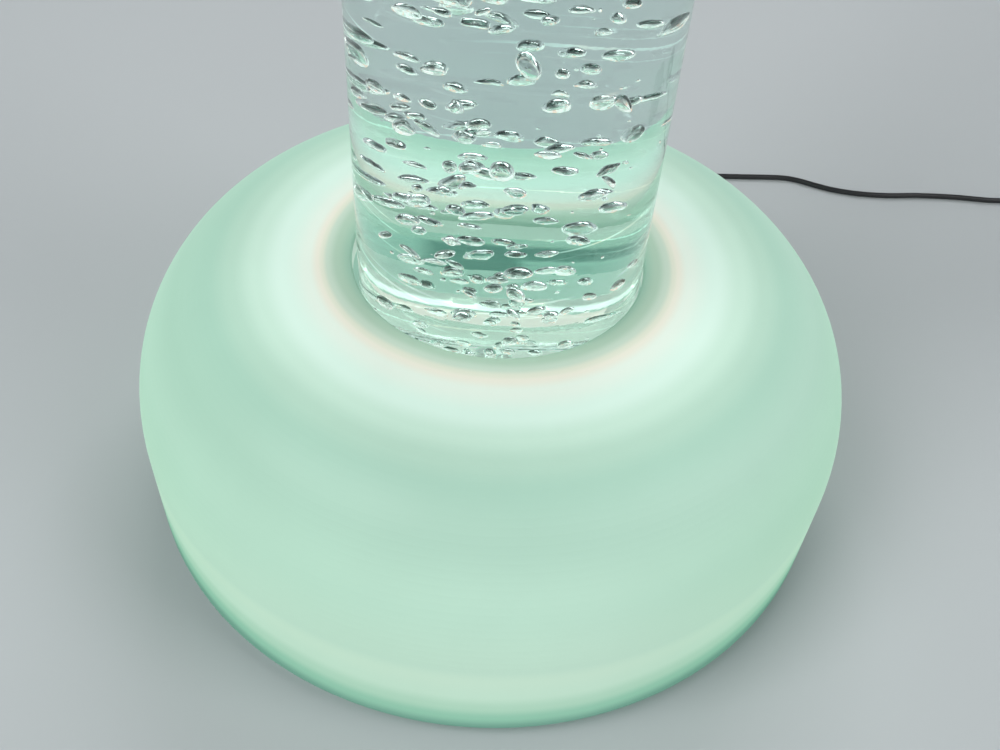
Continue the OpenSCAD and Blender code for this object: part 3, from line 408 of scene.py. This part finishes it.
def lit_seal(name):
    """Translucent dark green rubber, with the base's light painted on as a glow. At the rear the drain's hose
    keeps that light off it, as painted shade.
    """
    s = Shade(name)
    x, y, z = s.axes()
    low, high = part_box("tube_seal")[0].z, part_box("tube_seal")[1].z
    wobble = s.vary(s.noise(30 * MM, 2), -1.5, 1.5)
    angle = s.math("ADD", s.math("DEGREES", s.math("ARCTAN2", y, x)), wobble)
    # degrees from +X, where the shade is painted: all of the height is dark from 86 to 102, and its upper
    # half down to 62
    deep = s.times(s.span(angle, 83, 86), s.span(angle, 106, 102))
    half = s.times(s.span(angle, 56, 62), s.span(angle, 106, 102))
    upper = s.span(z, low + 8 * MM, low + 10 * MM)
    dark = s.math("MAXIMUM", deep, s.times(half, upper))
    # painted light: streaks of brighter and dimmer glow, and a brighter lip at the top
    bands = s.vary(s.noise(2.5 * MM, 3, (30, 30, 1)), 0.88, 1.12)
    lip = s.span(z, high - 3 * MM, high - 1 * MM)
    tone = s.mix(dark, linear(150, 200, 182), linear(88, 140, 127))
    light = s.tint(s.mix(lip, tone, linear(160, 204, 184)), bands)
    return s.done(s.put("BsdfPrincipled", {
        "Base Color": linear(60, 92, 84), "Roughness": 0.6, "Normal": s.bump(s.noise(0.5 * MM, 2), 0.02 * MM),
        "Emission Color": light, "Emission Strength": 0.75}))


def clear(name, ior, volume=None):
    """A clear face, and what its inside absorbs."""
    s = Shade(name)
    inside = s.put("VolumeAbsorption", {"Color": volume[0], "Density": volume[1]}) if volume else None
    return s.done(s.put("BsdfGlass", {"IOR": ior, "Roughness": 0.0}), inside)


def acrylic_with_painted_streaks(name):
    """Clear acrylic, with painted reflections: fine streaks of the base's light here and there, most near the
    base.
    """
    s = Shade(name)
    height = s.axes()[2]
    # painted reflections of the base's light, in fine streaks round the tube
    rings = s.noise(2.4 * MM, 1, (120, 120, 1))
    patches = s.span(s.noise(45 * MM, 2, (1, 1, 0.4)), 0.5, 0.64)
    streaks = s.times(s.span(rings, 0.635, 0.67), patches)
    fading = s.span(height, BASE_H, 3 * BASE_H, 0.45, 0.2)
    warm = s.span(s.noise(26 * MM, 2), 0.52, 0.6)
    return s.done(s.put("BsdfPrincipled", {
        "Base Color": WHITE, "Roughness": 0.0, "IOR": ACRYLIC, "Transmission Weight": 1.0,
        "Normal": s.bump(s.noise(3 * MM, 2, (20, 20, 1)), 0.02 * MM),
        "Emission Color": s.mix(warm, linear(214, 246, 234), linear(250, 222, 200)),
        "Emission Strength": s.times(streaks, fading)}))


def glue_ring(name):
    """The glued joint under the tube's edge: pale, with a dark line where the glue ran thin, and glowing with
    painted light from the base.
    """
    s = Shade(name)
    radius = s.radius_height()[0]
    line = s.below(s.apart(radius, BORE_R + 2.2 * MM), 0.6 * MM)
    line = s.times(line, s.span(s.noise(40 * MM, 2), 0.4, 0.55, 0.25, 1.0))
    tone = s.mix(line, linear(236, 246, 242), linear(44, 84, 76))
    return s.done(s.put("BsdfPrincipled", {
        "Base Color": tone, "Roughness": 0.4, "Emission Color": tone, "Emission Strength": 0.6}))


def lit_bubble(name):
    """Air in water, with painted light: as light comes up from the base, the flanks are painted shining white
    and the flat tops painted dark.
    """
    s = Shade(name)
    facing = s.put("NewGeometry")
    up = s.put("SeparateXYZ", {0: facing.outputs["Normal"]}).outputs[2]
    up = s.times(up, s.span(facing.outputs["Backfacing"], 0, 1, 1, -1))
    cloud = s.noise(5 * MM, 2)
    flank = s.times(s.span(up, 0.5, 0.25), s.span(up, -0.75, -0.45))
    flank = s.times(flank, s.span(cloud, 0.36, 0.58, 0.25, 1.0))
    roof = s.times(s.span(up, 0.62, 0.86), s.span(cloud, 0.4, 0.58, 0.1, 0.85))
    glass = s.put("BsdfGlass", {"IOR": AIR_IN_WATER, "Roughness": 0.0})
    warm = s.span(s.noise(2.4 * MM, 1), 0.58, 0.64)      # painted specks where the light splits into its colours
    # painted highlight on the flanks
    white = s.put("BsdfPrincipled", {
        "Base Color": linear(225, 236, 231), "Roughness": 0.25, "Emission Strength": 0.7,
        "Emission Color": s.mix(warm, linear(240, 250, 244), linear(255, 200, 176))})
    # painted shade on the flat tops
    dark = s.put("BsdfPrincipled", {"Base Color": linear(30, 62, 54), "Roughness": 0.12})
    lit = s.put("MixShader", {0: flank, 1: glass, 2: white})
    return s.done(s.put("MixShader", {0: roof, 1: lit, 2: dark}))


def unseen(name):
    """For a wet face inside the acrylic, where the water's own face bends the light."""
    s = Shade(name)
    return s.done(s.put("BsdfTransparent", {"Color": WHITE}))


def joined_clear(name):
    """The clear floor and flange. Their faces against the tube, each other and the water don't show."""
    s = Shade(name)
    radius, height = s.radius_height()
    outer = s.math("MAXIMUM", s.below(height, TUBE_LOW.z - WET), s.above(radius, TUBE_R + WET))
    middle, reach = (TUBE_LOW.z + FLOOR_TOP) / 2, (FLOOR_TOP - TUBE_LOW.z) / 2 - WET
    in_hole = s.times(s.below(radius, BORE_R - WET), s.math("COMPARE", height, middle, reach))
    glass = s.put("BsdfGlass", {"Color": linear(244, 253, 250), "IOR": ACRYLIC, "Roughness": 0.0})
    lit = s.put("BsdfPrincipled", {
        "Base Color": linear(205, 222, 216), "Roughness": 0.5, "Emission Color": linear(240, 230, 226),
        "Emission Strength": s.vary(s.noise(18 * MM, 3), 0.4, 0.6)})
    # the underside is sanded, and the light that the edge takes in is painted on it as a glow
    under = s.span(height, FLANGE_LOW + WET, FLANGE_LOW + 2 * WET, 0.8, 0.0)
    faces = s.put("MixShader", {0: under, 1: glass, 2: lit})
    return s.done(s.put("MixShader", {0: s.math("MAXIMUM", outer, in_hole), 1: s.put("BsdfTransparent"),
                                      2: faces}))


def base_plate(name, colour):
    """Black plate whose upper side is white, to throw the light up. That side also glows with painted light.
    """
    s = Shade(name)
    height = s.radius_height()[1]
    upper = s.above(height, PLATE_TOP - 0.3 * MM)
    cloud = s.noise(20 * MM, 3)
    tone = s.vary(cloud, 0.94, 1.04)
    return s.done(s.put("BsdfPrincipled", {
        "Base Color": s.tint(s.mix(upper, colour, linear(226, 234, 231)), tone),
        "Roughness": s.vary(cloud, 0.42, 0.55), "Normal": s.bump(s.noise(0.7 * MM, 3), 0.03 * MM),
        "Emission Color": linear(255, 226, 224), "Emission Strength": s.times(upper, 0.45)}))


def shell_side(s):
    """1 at the left and the right of the shell, 0 at its front and its rear."""
    across = s.math("DIVIDE", s.axes()[0], s.radius_height()[0])
    return s.span(s.math("ABSOLUTE", across), 0.3, 0.85)


def shell_way(s):
    """The way from the lamp's axis outwards and down the wall, shifted where a shade is wider."""
    x, y, height = s.axes()
    radius = s.radius_height()[0]
    way = s.math("ADD", radius, s.span(height, WALL_H, 0.0, 0.0, WALL_H))
    # the shade round the hole is wider away from the front
    front = s.math("MAXIMUM", s.math("DIVIDE", s.times(y, -1.0), radius), 0.0)
    wider = s.times(s.inverse(s.times(front, front)), s.span(x, -85 * MM, -40 * MM, 7 * MM, 4.5 * MM),
                    s.span(radius, 90 * MM, 106 * MM, 1.0, 0.0))
    # the shade at the foot of the wall starts higher at the sides
    higher = s.times(shell_side(s), s.span(height, 62 * MM, 40 * MM, 0.0, 7 * MM))
    return s.math("ADD", s.math("SUBTRACT", way, wider), higher)


def shell_glow_and_shade(s):
    """Painted light and shade of the shell's outer skin: the colour that it glows in and reflects."""
    way = shell_way(s)
    first, last = SHELL_TONES[0][0] * MM, BASE_R + WALL_H
    stops = [((mm * MM - first) / (last - first), linear(*tone)) for mm, tone in SHELL_TONES]
    skin = s.ramp(s.span(way, first, last), stops, "EASE")
    # painted shade: the sides of the wall and the left of the shoulder are a little darker
    sides = s.times(shell_side(s), s.span(way, 170 * MM, 195 * MM, 0.0, 0.9))
    left = s.times(s.span(s.axes()[0], 0.0, -BASE_R), s.span(way, 130 * MM, 170 * MM, 0.0, 0.7))
    return s.mix(s.math("MAXIMUM", sides, left), skin, s.tint(skin, SIDE_SHADE))


def shell_inside(s):
    """1 on the inner skin and the hole's wall, 0 on the outer skin and round the rear panel."""
    x, y, height = s.axes()
    out, up = s.span(s.radius_height()[0], FLAT_R, BASE_R), s.span(height, WALL_H, BASE_H)
    inner = s.times(s.below(s.length(out, up), 0.975), s.above(height, 20 * MM))
    low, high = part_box("rear_panel")
    edge = 4 * MM
    pocket = s.times(s.below(s.math("ABSOLUTE", x), high.x + edge), s.above(y, low.y),
                     s.below(height, high.z + edge))
    return s.times(inner, s.inverse(pocket))


def lit_shell(name):
    """Opal plastic lit from inside, with that light painted on as a glow."""
    s = Shade(name)
    inside = shell_inside(s)
    # painted light and shade: the inner skin glows pale, the hole's wall dimmer
    collar = s.below(s.radius_height(HOLE_AT)[0], HOLE_R + 0.3 * MM)
    lit = s.mix(collar, linear(226, 230, 222), linear(190, 212, 198))
    cloud = s.noise(60 * MM, 2)
    colour = s.tint(s.mix(inside, shell_glow_and_shade(s), lit), s.vary(cloud, 0.985, 1.012))
    share = (SHELL_DIFFUSE, SHELL_DIFFUSE, SHELL_DIFFUSE, 1)
    peel = s.bump(s.noise(0.5 * MM, 2), 0.008 * MM, s.bump(s.noise(2.2 * MM, 2), 0.03 * MM))
    return s.done(s.put("BsdfPrincipled", {
        "Base Color": s.tint(colour, share), "Roughness": s.vary(cloud, 0.46, 0.54),
        "Specular IOR Level": 0.35, "Normal": peel, "Emission Color": colour,
        "Emission Strength": s.span(inside, 0.0, 1.0, SHELL_GLOW, INSIDE_GLOW)}))


def finish_nodes():
    """Gives every CAD node the finish of its material slot."""
    glow = linear(240, 255, 250)
    recipes = {
        "lit_shell": lambda name, colour: lit_shell(name),
        "black_plastic": partial(moulded, roughness=0.5, grain=0.6 * MM, depth=0.03 * MM),
        "dark_grey_plastic": partial(moulded, roughness=0.48),
        "grey_plastic": partial(moulded, roughness=0.42),
        "white_plastic": partial(moulded, roughness=0.38, grain=0.6 * MM, depth=0.015 * MM),
        "red_plastic": partial(moulded, roughness=0.3, depth=0.01 * MM),
        "magnet": partial(moulded, roughness=0.4, grain=0.3 * MM, depth=0.01 * MM),
        "wire": partial(moulded, roughness=0.4, depth=0.01 * MM),
        "cord": partial(moulded, roughness=0.42),
        "clear_acrylic": lambda name, colour: joined_clear(name),
        "clear_flange": lambda name, colour: joined_clear(name),
        "water": lambda name, colour: clear(name, WATER),
        "rubber": rubber,
        "silicone": silicone,
        "steel": partial(metal, roughness=0.28),
        "aluminium": partial(metal, roughness=0.34, stretch=(1, 1, 12)),
        "brass": partial(metal, roughness=0.3, stretch=(1, 1, 12)),
        "iron_core": partial(layered, pitch=0.5 * MM, axis="Z", metallic=1.0, roughness=0.5),
        "copper_winding": partial(layered, pitch=0.45 * MM, axis="X", metallic=0.8, roughness=0.35),
        "circuit_board": circuit_board,
        "light_strip": partial(shining, glow=glow, strength=0.95, middle=LINE_Z),
        "lamps": partial(shining, glow=glow, strength=1.8, middle=LINE_Z),
    }
    made = {}
    for node in nodes.values():
        slot = node.data.materials[0].name
        if slot not in made:
            made[slot] = recipes[slot](slot + "_finish", slot_colour(slot))
        node.data.materials[0] = made[slot]
    nodes["base_plate"].data.materials[0] = base_plate("base_plate_finish", slot_colour("black_plastic"))
    nodes["power_adapter"].data.materials[0] = adapter_case("adapter_finish", slot_colour("black_plastic"))
    nodes["tube_seal"].data.materials[0] = lit_seal("seal_finish")
    # painted light: the hoop and the parts under the tube glow as if lit by the base's lamps
    nodes["led_hoop"].data.materials[0] = lit_white(
        "hoop_finish", slot_colour("white_plastic"), linear(146, 192, 174), 0.46)
    under_tube = lit_white("under_tube_finish", slot_colour("white_plastic"), linear(222, 232, 226), 0.35)
    for name in ("drain_elbow", "air_chamber", "check_valve"):
        nodes[name].data.materials[0] = under_tube
    return made


# ---- Tube, water and bubbles ----

def make_tube(glass, hidden, glue):
    edge = 0.8 * MM
    profile = [
        (TUBE_R, TUBE_LOW.z), (TUBE_R, TUBE_HIGH.z - edge), (TUBE_R - edge, TUBE_HIGH.z),
        (BORE_R + edge, TUBE_HIGH.z), (BORE_R, TUBE_HIGH.z - edge), (BORE_R, WATERLINE), (BORE_R, TUBE_LOW.z)]
    tube = lathe("clear_tube", profile, [0, 0, 0, 0, 0, 1, 2], [glass, hidden, glue], True)
    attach(tube, "lamp")
    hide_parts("tube")


def make_water(side, top):
    """Water with a rippled top. It reaches into the acrylic, so that only its face bends light there."""
    radius, rings = BORE_R + WET, 24
    profile = [(0, FLOOR_TOP - WET), (radius, FLOOR_TOP - WET)]
    profile += [(radius * (1 - k / rings), WATERLINE) for k in range(rings)] + [(0, WATERLINE)]
    water = lathe("water", profile, [0, 0] + [1] * rings, [side, top], False)
    for vertex in water.data.vertices:
        x, y, z = vertex.co
        share = math.hypot(x, y) / radius
        if z > WATERLINE - WET and share < 0.999:
            swell = (math.sin(95 * x + 40 * y) + 0.8 * math.sin(150 * y - 60 * x + 1.3)
                     + 0.5 * math.sin(260 * x + 2))
            vertex.co.z = WATERLINE + 0.9 * MM * swell * (1 - share ** 4) + 2.2 * MM * share ** 12
    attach(water, "lamp")
    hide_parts("water_column")


def ball_mesh(detail):
    """Points and faces of a ball of radius 1."""
    ball = bmesh.new()
    bmesh.ops.create_icosphere(ball, subdivisions=detail, radius=1.0)
    points = np.array([v.co for v in ball.verts])
    faces = np.array([[v.index for v in f.verts] for f in ball.faces])
    ball.free()
    return points, faces


def bubble(ball, half, lift, tilt, rng):
    """One bubble about the origin: a flat cap, domed above, that wobbles as it rises."""
    x, y, z = ball.T
    dome, dish = lift * rng.uniform(1.05, 1.35), lift * rng.uniform(0.5, 0.8)
    shape = np.stack([x * half, y * half * rng.uniform(0.62, 0.95), np.where(z > 0, z * dome, z * dish)], 1)
    shape[:, 2] -= rng.uniform(0.05, 0.35) * lift * (x * x + y * y)
    for _ in range(3):
        way = np.array([rng.uniform(-3.2, 3.2) for _ in range(3)])
        shape *= 1 + rng.uniform(0.04, 0.11) * np.sin(ball @ way + rng.uniform(0, 6.28))[:, None]
    turn = (Matrix.Rotation(rng.uniform(0, 2 * math.pi), 3, "Z") @ Matrix.Rotation(tilt, 3, "Y")
            @ Matrix.Rotation(rng.uniform(0, 2 * math.pi), 3, "Z"))
    return shape @ np.array(turn).T


def make_bubbles(material):
    """Bubbles rise in wandering streams from the air nozzles, often two or three together."""
    rng = random.Random(11)
    near, far = ball_mesh(3), ball_mesh(2)
    tiny = 1.4 * MM                            # bubbles of this half width or less have coarse meshes
    bottom, top = FLOOR_TOP + 6 * MM, WATERLINE - 8 * MM
    reach = BORE_R - 2 * MM
    turns = [math.pi + 2 * math.pi * k / NOZZLES for k in range(NOZZLES)]
    streams = [(0.0, 0.0)] + [(NOZZLE_RING_R * math.cos(t), NOZZLE_RING_R * math.sin(t)) for t in turns]
    placed, points, faces = [], [], []

    def fits(x, y, z, half, tall):
        if math.hypot(x, y) + half > reach or z - tall < bottom or z + tall > top:
            return False
        for other_x, other_y, other_z, other_half, other_tall in placed:
            if abs(other_z - z) < other_tall + tall:
                aside = ((other_x - x) ** 2 + (other_y - y) ** 2) / (other_half + half) ** 2
                if aside + ((other_z - z) / (other_tall + tall)) ** 2 < 1.0:
                    return False
        return True

    def add(x, y, z, half, lift, tilt):
        ball, sides = near if z < FINER_BELOW and half > tiny else far
        faces.append(sides + sum(len(p) for p in points))
        points.append(bubble(ball, half, lift, tilt, rng) + np.array([x, y, z]))

    def spot():
        """A place in a stream or, three times in ten, anywhere in the water."""
        z = rng.uniform(bottom, top)
        if rng.random() < 0.3:
            radius, turn = reach * math.sqrt(rng.random()), rng.uniform(0, 2 * math.pi)
            return radius * math.cos(turn), radius * math.sin(turn), z
        stream_x, stream_y = rng.choice(streams)
        spread = 6 * MM + 14 * MM * smoothstep((z - bottom) / 0.25)
        wander = 9 * MM * math.sin(21 * z + 40 * stream_x)
        return stream_x + wander + rng.gauss(0, spread), stream_y + rng.gauss(0, spread), z

    while len(placed) < BUBBLES:
        x, y, z = spot()
        for _ in range(rng.choice((1, 1, 1, 2, 2, 3))):
            grown = smoothstep((z - bottom) / 0.12)          # small and round just above the nozzles
            half = rng.uniform(*NEW_HALF) * MM * (1 - grown) + rng.triangular(*GROWN_HALF) * MM * grown
            lift = half * (0.6 * (1 - grown) + rng.uniform(0.26, 0.46) * grown)
            tilt = rng.gauss(0, math.radians(16))
            tall = lift * 1.25 + half * abs(math.sin(tilt))
            if fits(x, y, z, half * 1.08, tall):
                placed.append((x, y, z, half * 1.08, tall))
                add(x, y, z, half, lift, tilt)
            aside, gap = rng.uniform(0, 2 * math.pi), half * rng.uniform(1.6, 2.2)
            x, y, z = x + gap * math.cos(aside), y + gap * math.sin(aside), z + rng.uniform(-4, 4) * MM
    for _ in range(TINY_BUBBLES):
        x, y, z = spot()
        half = rng.uniform(0.5, 1.3) * MM
        if fits(x, y, z, half, half):
            placed.append((x, y, z, half, half))
            add(x, y, z, half, half * 0.75, 0.0)
    obj = add_object("bubbles", mesh_of("bubbles", np.concatenate(points), np.concatenate(faces)), [material])
    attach(obj, "lamp")


# ---- Lead ----

def coil_points():
    """Middle line of the coil. Its turns fill the section one place after another."""
    whole = 360 * COIL_TURNS
    first, last, crossing = 331, 2690, 75     # degrees: first and last change of place, and its length
    steps = round(14 * COIL_TURNS)
    points = []
    for k in range(steps + 1):
        turned = whole * k / steps
        out, up = COIL_CELLS[0]
        for n in range(1, len(COIL_CELLS)):
            centre = first + (n - 1) * (last - first) / (len(COIL_CELLS) - 2)
            share = smoothstep((turned - centre) / crossing + 0.5)
            out += (COIL_CELLS[n][0] - COIL_CELLS[n - 1][0]) * share
            up += (COIL_CELLS[n][1] - COIL_CELLS[n - 1][1]) * share
        azimuth = COIL_START - turned
        off_tie = abs((azimuth - TIE_AT + 180) % 360 - 180)
        lift = TIE_T * smoothstep(1.4 - off_tie / 30)        # the turns lie over the tie
        radius = COIL_R + 2 * CORD_R * out
        points.append((COIL_AT[0] + radius * math.cos(math.radians(azimuth)),
                       COIL_AT[1] + radius * math.sin(math.radians(azimuth)),
                       COIL_MID + 2 * CORD_R * up + lift))
    return points


def make_lead(finish):
    points = [Vector(p) for p in ROUTE + coil_points() + TAIL]
    curve = bpy.data.curves.new("lead", "CURVE")
    curve.dimensions = "3D"
    curve.bevel_depth, curve.bevel_resolution, curve.resolution_u = CORD_R, 5, 6
    curve.use_fill_caps = True
    spline = curve.splines.new("BEZIER")
    spline.bezier_points.add(len(points) - 1)
    for k, knot in enumerate(spline.bezier_points):
        reach = (points[min(k + 1, len(points) - 1)] - points[max(k - 1, 0)]) / 6
        knot.handle_left_type = knot.handle_right_type = "FREE"
        knot.co, knot.handle_left, knot.handle_right = points[k], points[k] - reach, points[k] + reach
    curve.materials.append(finish)
    lead = bpy.data.objects.new("lead", curve)
    bpy.context.scene.collection.objects.link(lead)
    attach(lead, "lamp")
    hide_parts("power_cord", "cord_coil")
    tie = make_tie(finish)


def make_tie(finish):
    """A flat strap round the coil's section."""
    # half the width of the loop, the radius of its corners, and the points of a corner
    half, corner, steps = 3 * CORD_R + 0.1 * MM, CORD_R, 8
    loop = []                                  # out, up and the outward normal, anticlockwise
    for quarter in range(4):
        cx, cy = [(1, 1), (-1, 1), (-1, -1), (1, -1)][quarter]
        for k in range(steps + 1):
            turn = math.pi / 2 * (quarter + k / steps)
            loop.append((cx * (half - corner) + corner * math.cos(turn),
                         cy * (half - corner) + corner * math.sin(turn), math.cos(turn), math.sin(turn)))
    out_way = Vector((math.cos(math.radians(TIE_AT)), math.sin(math.radians(TIE_AT)), 0))
    along = Vector((-out_way.y, out_way.x, 0))
    middle = Vector((COIL_AT[0], COIL_AT[1], COIL_MID + TIE_T)) + out_way * COIL_R
    points, faces = [], []
    for out, up, nx, ny in loop:
        for thick, side in ((0, -1), (0, 1), (TIE_T, 1), (TIE_T, -1)):
            points.append(middle + out_way * (out + thick * nx) + Vector((0, 0, up + thick * ny))
                          + along * side * TIE_W / 2)
    for k in range(len(loop)):
        m = (k + 1) % len(loop)
        for c in range(4):
            d = (c + 1) % 4
            faces.append((4 * k + c, 4 * k + d, 4 * m + d, 4 * m + c))
    tie = add_object("coil_tie", mesh_of("coil_tie", points, faces), [finish])
    tie.data.set_sharp_from_angle(angle=math.radians(40))
    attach(tie, "lamp")
    return tie


# ---- Camera, floor and light ----

def make_camera():
    data = bpy.data.cameras.new("camera")
    data.lens, data.sensor_width = LENS, SENSOR
    data.clip_start, data.clip_end = 0.01, 50
    camera = bpy.data.objects.new("camera", data)
    turn = (Matrix.Rotation(-math.radians(HEADING), 4, "Z")
            @ Matrix.Rotation(math.radians(90 - PITCH), 4, "X")
            @ Matrix.Rotation(math.radians(ROLL), 4, "Z"))
    camera.matrix_world = Matrix.Translation(EYE) @ turn
    bpy.context.scene.collection.objects.link(camera)
    bpy.context.scene.camera = camera


def make_floor():
    """A pale floor that runs out into the walls' colour, so that no edge shows."""
    s = Shade("floor")
    cloud = s.noise(0.5, 2)
    corners = [(x * FLOOR_HALF, y * FLOOR_HALF, 0) for x, y in ((-1, -1), (1, -1), (1, 1), (-1, 1))]
    near = s.put("BsdfPrincipled", {
        "Base Color": s.mix(cloud, linear(182, 187, 189), linear(187, 192, 194)), "Roughness": 0.6})
    far = s.put("Emission", {"Color": WALLS, "Strength": 1.0})
    fade = s.put("MapRange", {0: s.radius_height()[0], 1: FLOOR_FADE[0], 2: FLOOR_FADE[1]},
                 interpolation_type="SMOOTHSTEP")
    finish = s.done(s.put("MixShader", {0: fade, 1: near, 2: far}))
    add_object("floor", mesh_of("floor", corners, [(0, 1, 2, 3)]), [finish])


def add_light(name, place, aim, size, watts):
    data = bpy.data.lights.new(name, "AREA")
    data.shape, data.size, data.size_y, data.energy = "RECTANGLE", size[0], size[1], watts
    light = bpy.data.objects.new(name, data)
    light.location = place
    light.rotation_euler = (Vector(aim) - Vector(place)).to_track_quat("-Z", "Y").to_euler()
    bpy.context.scene.collection.objects.link(light)
    return light


def make_light():
    world = bpy.data.worlds.new("studio")
    world.use_nodes = True
    tree = world.node_tree
    way = tree.nodes.new("ShaderNodeTexCoord")
    apart = tree.nodes.new("ShaderNodeSeparateXYZ")
    ramp = tree.nodes.new("ShaderNodeValToRGB")
    tree.links.new(way.outputs["Generated"], apart.inputs[0])
    tree.links.new(apart.outputs["Z"], ramp.inputs[0])
    tree.links.new(ramp.outputs[0], tree.nodes["Background"].inputs["Color"])
    band = ramp.color_ramp.elements            # pale walls under a dim ceiling, by how high one looks
    band[0].position, band[0].color = 0.3, WALLS
    band[1].position, band[1].color = 0.62, linear(70, 76, 78)
    bpy.context.scene.world = world
    for row in LIGHTS:
        light = add_light(*row)
        light.visible_glossy = light.name != "back"      # its shape would show in the tube


make_camera()
finishes = finish_nodes()
make_lead(finishes["cord"])
make_tube(acrylic_with_painted_streaks("tube_glass"), unseen("wet_acrylic"), glue_ring("glue"))
make_water(clear("water_side", WATER / ACRYLIC, volume=WATER_TINT), clear("water_top", WATER))
make_bubbles(lit_bubble("bubble_air"))
make_floor()
make_light()

scene = bpy.context.scene
scene.view_settings.view_transform = "Standard"
scene.cycles.max_bounces = scene.cycles.transmission_bounces = 24
scene.cycles.transparent_max_bounces = 16
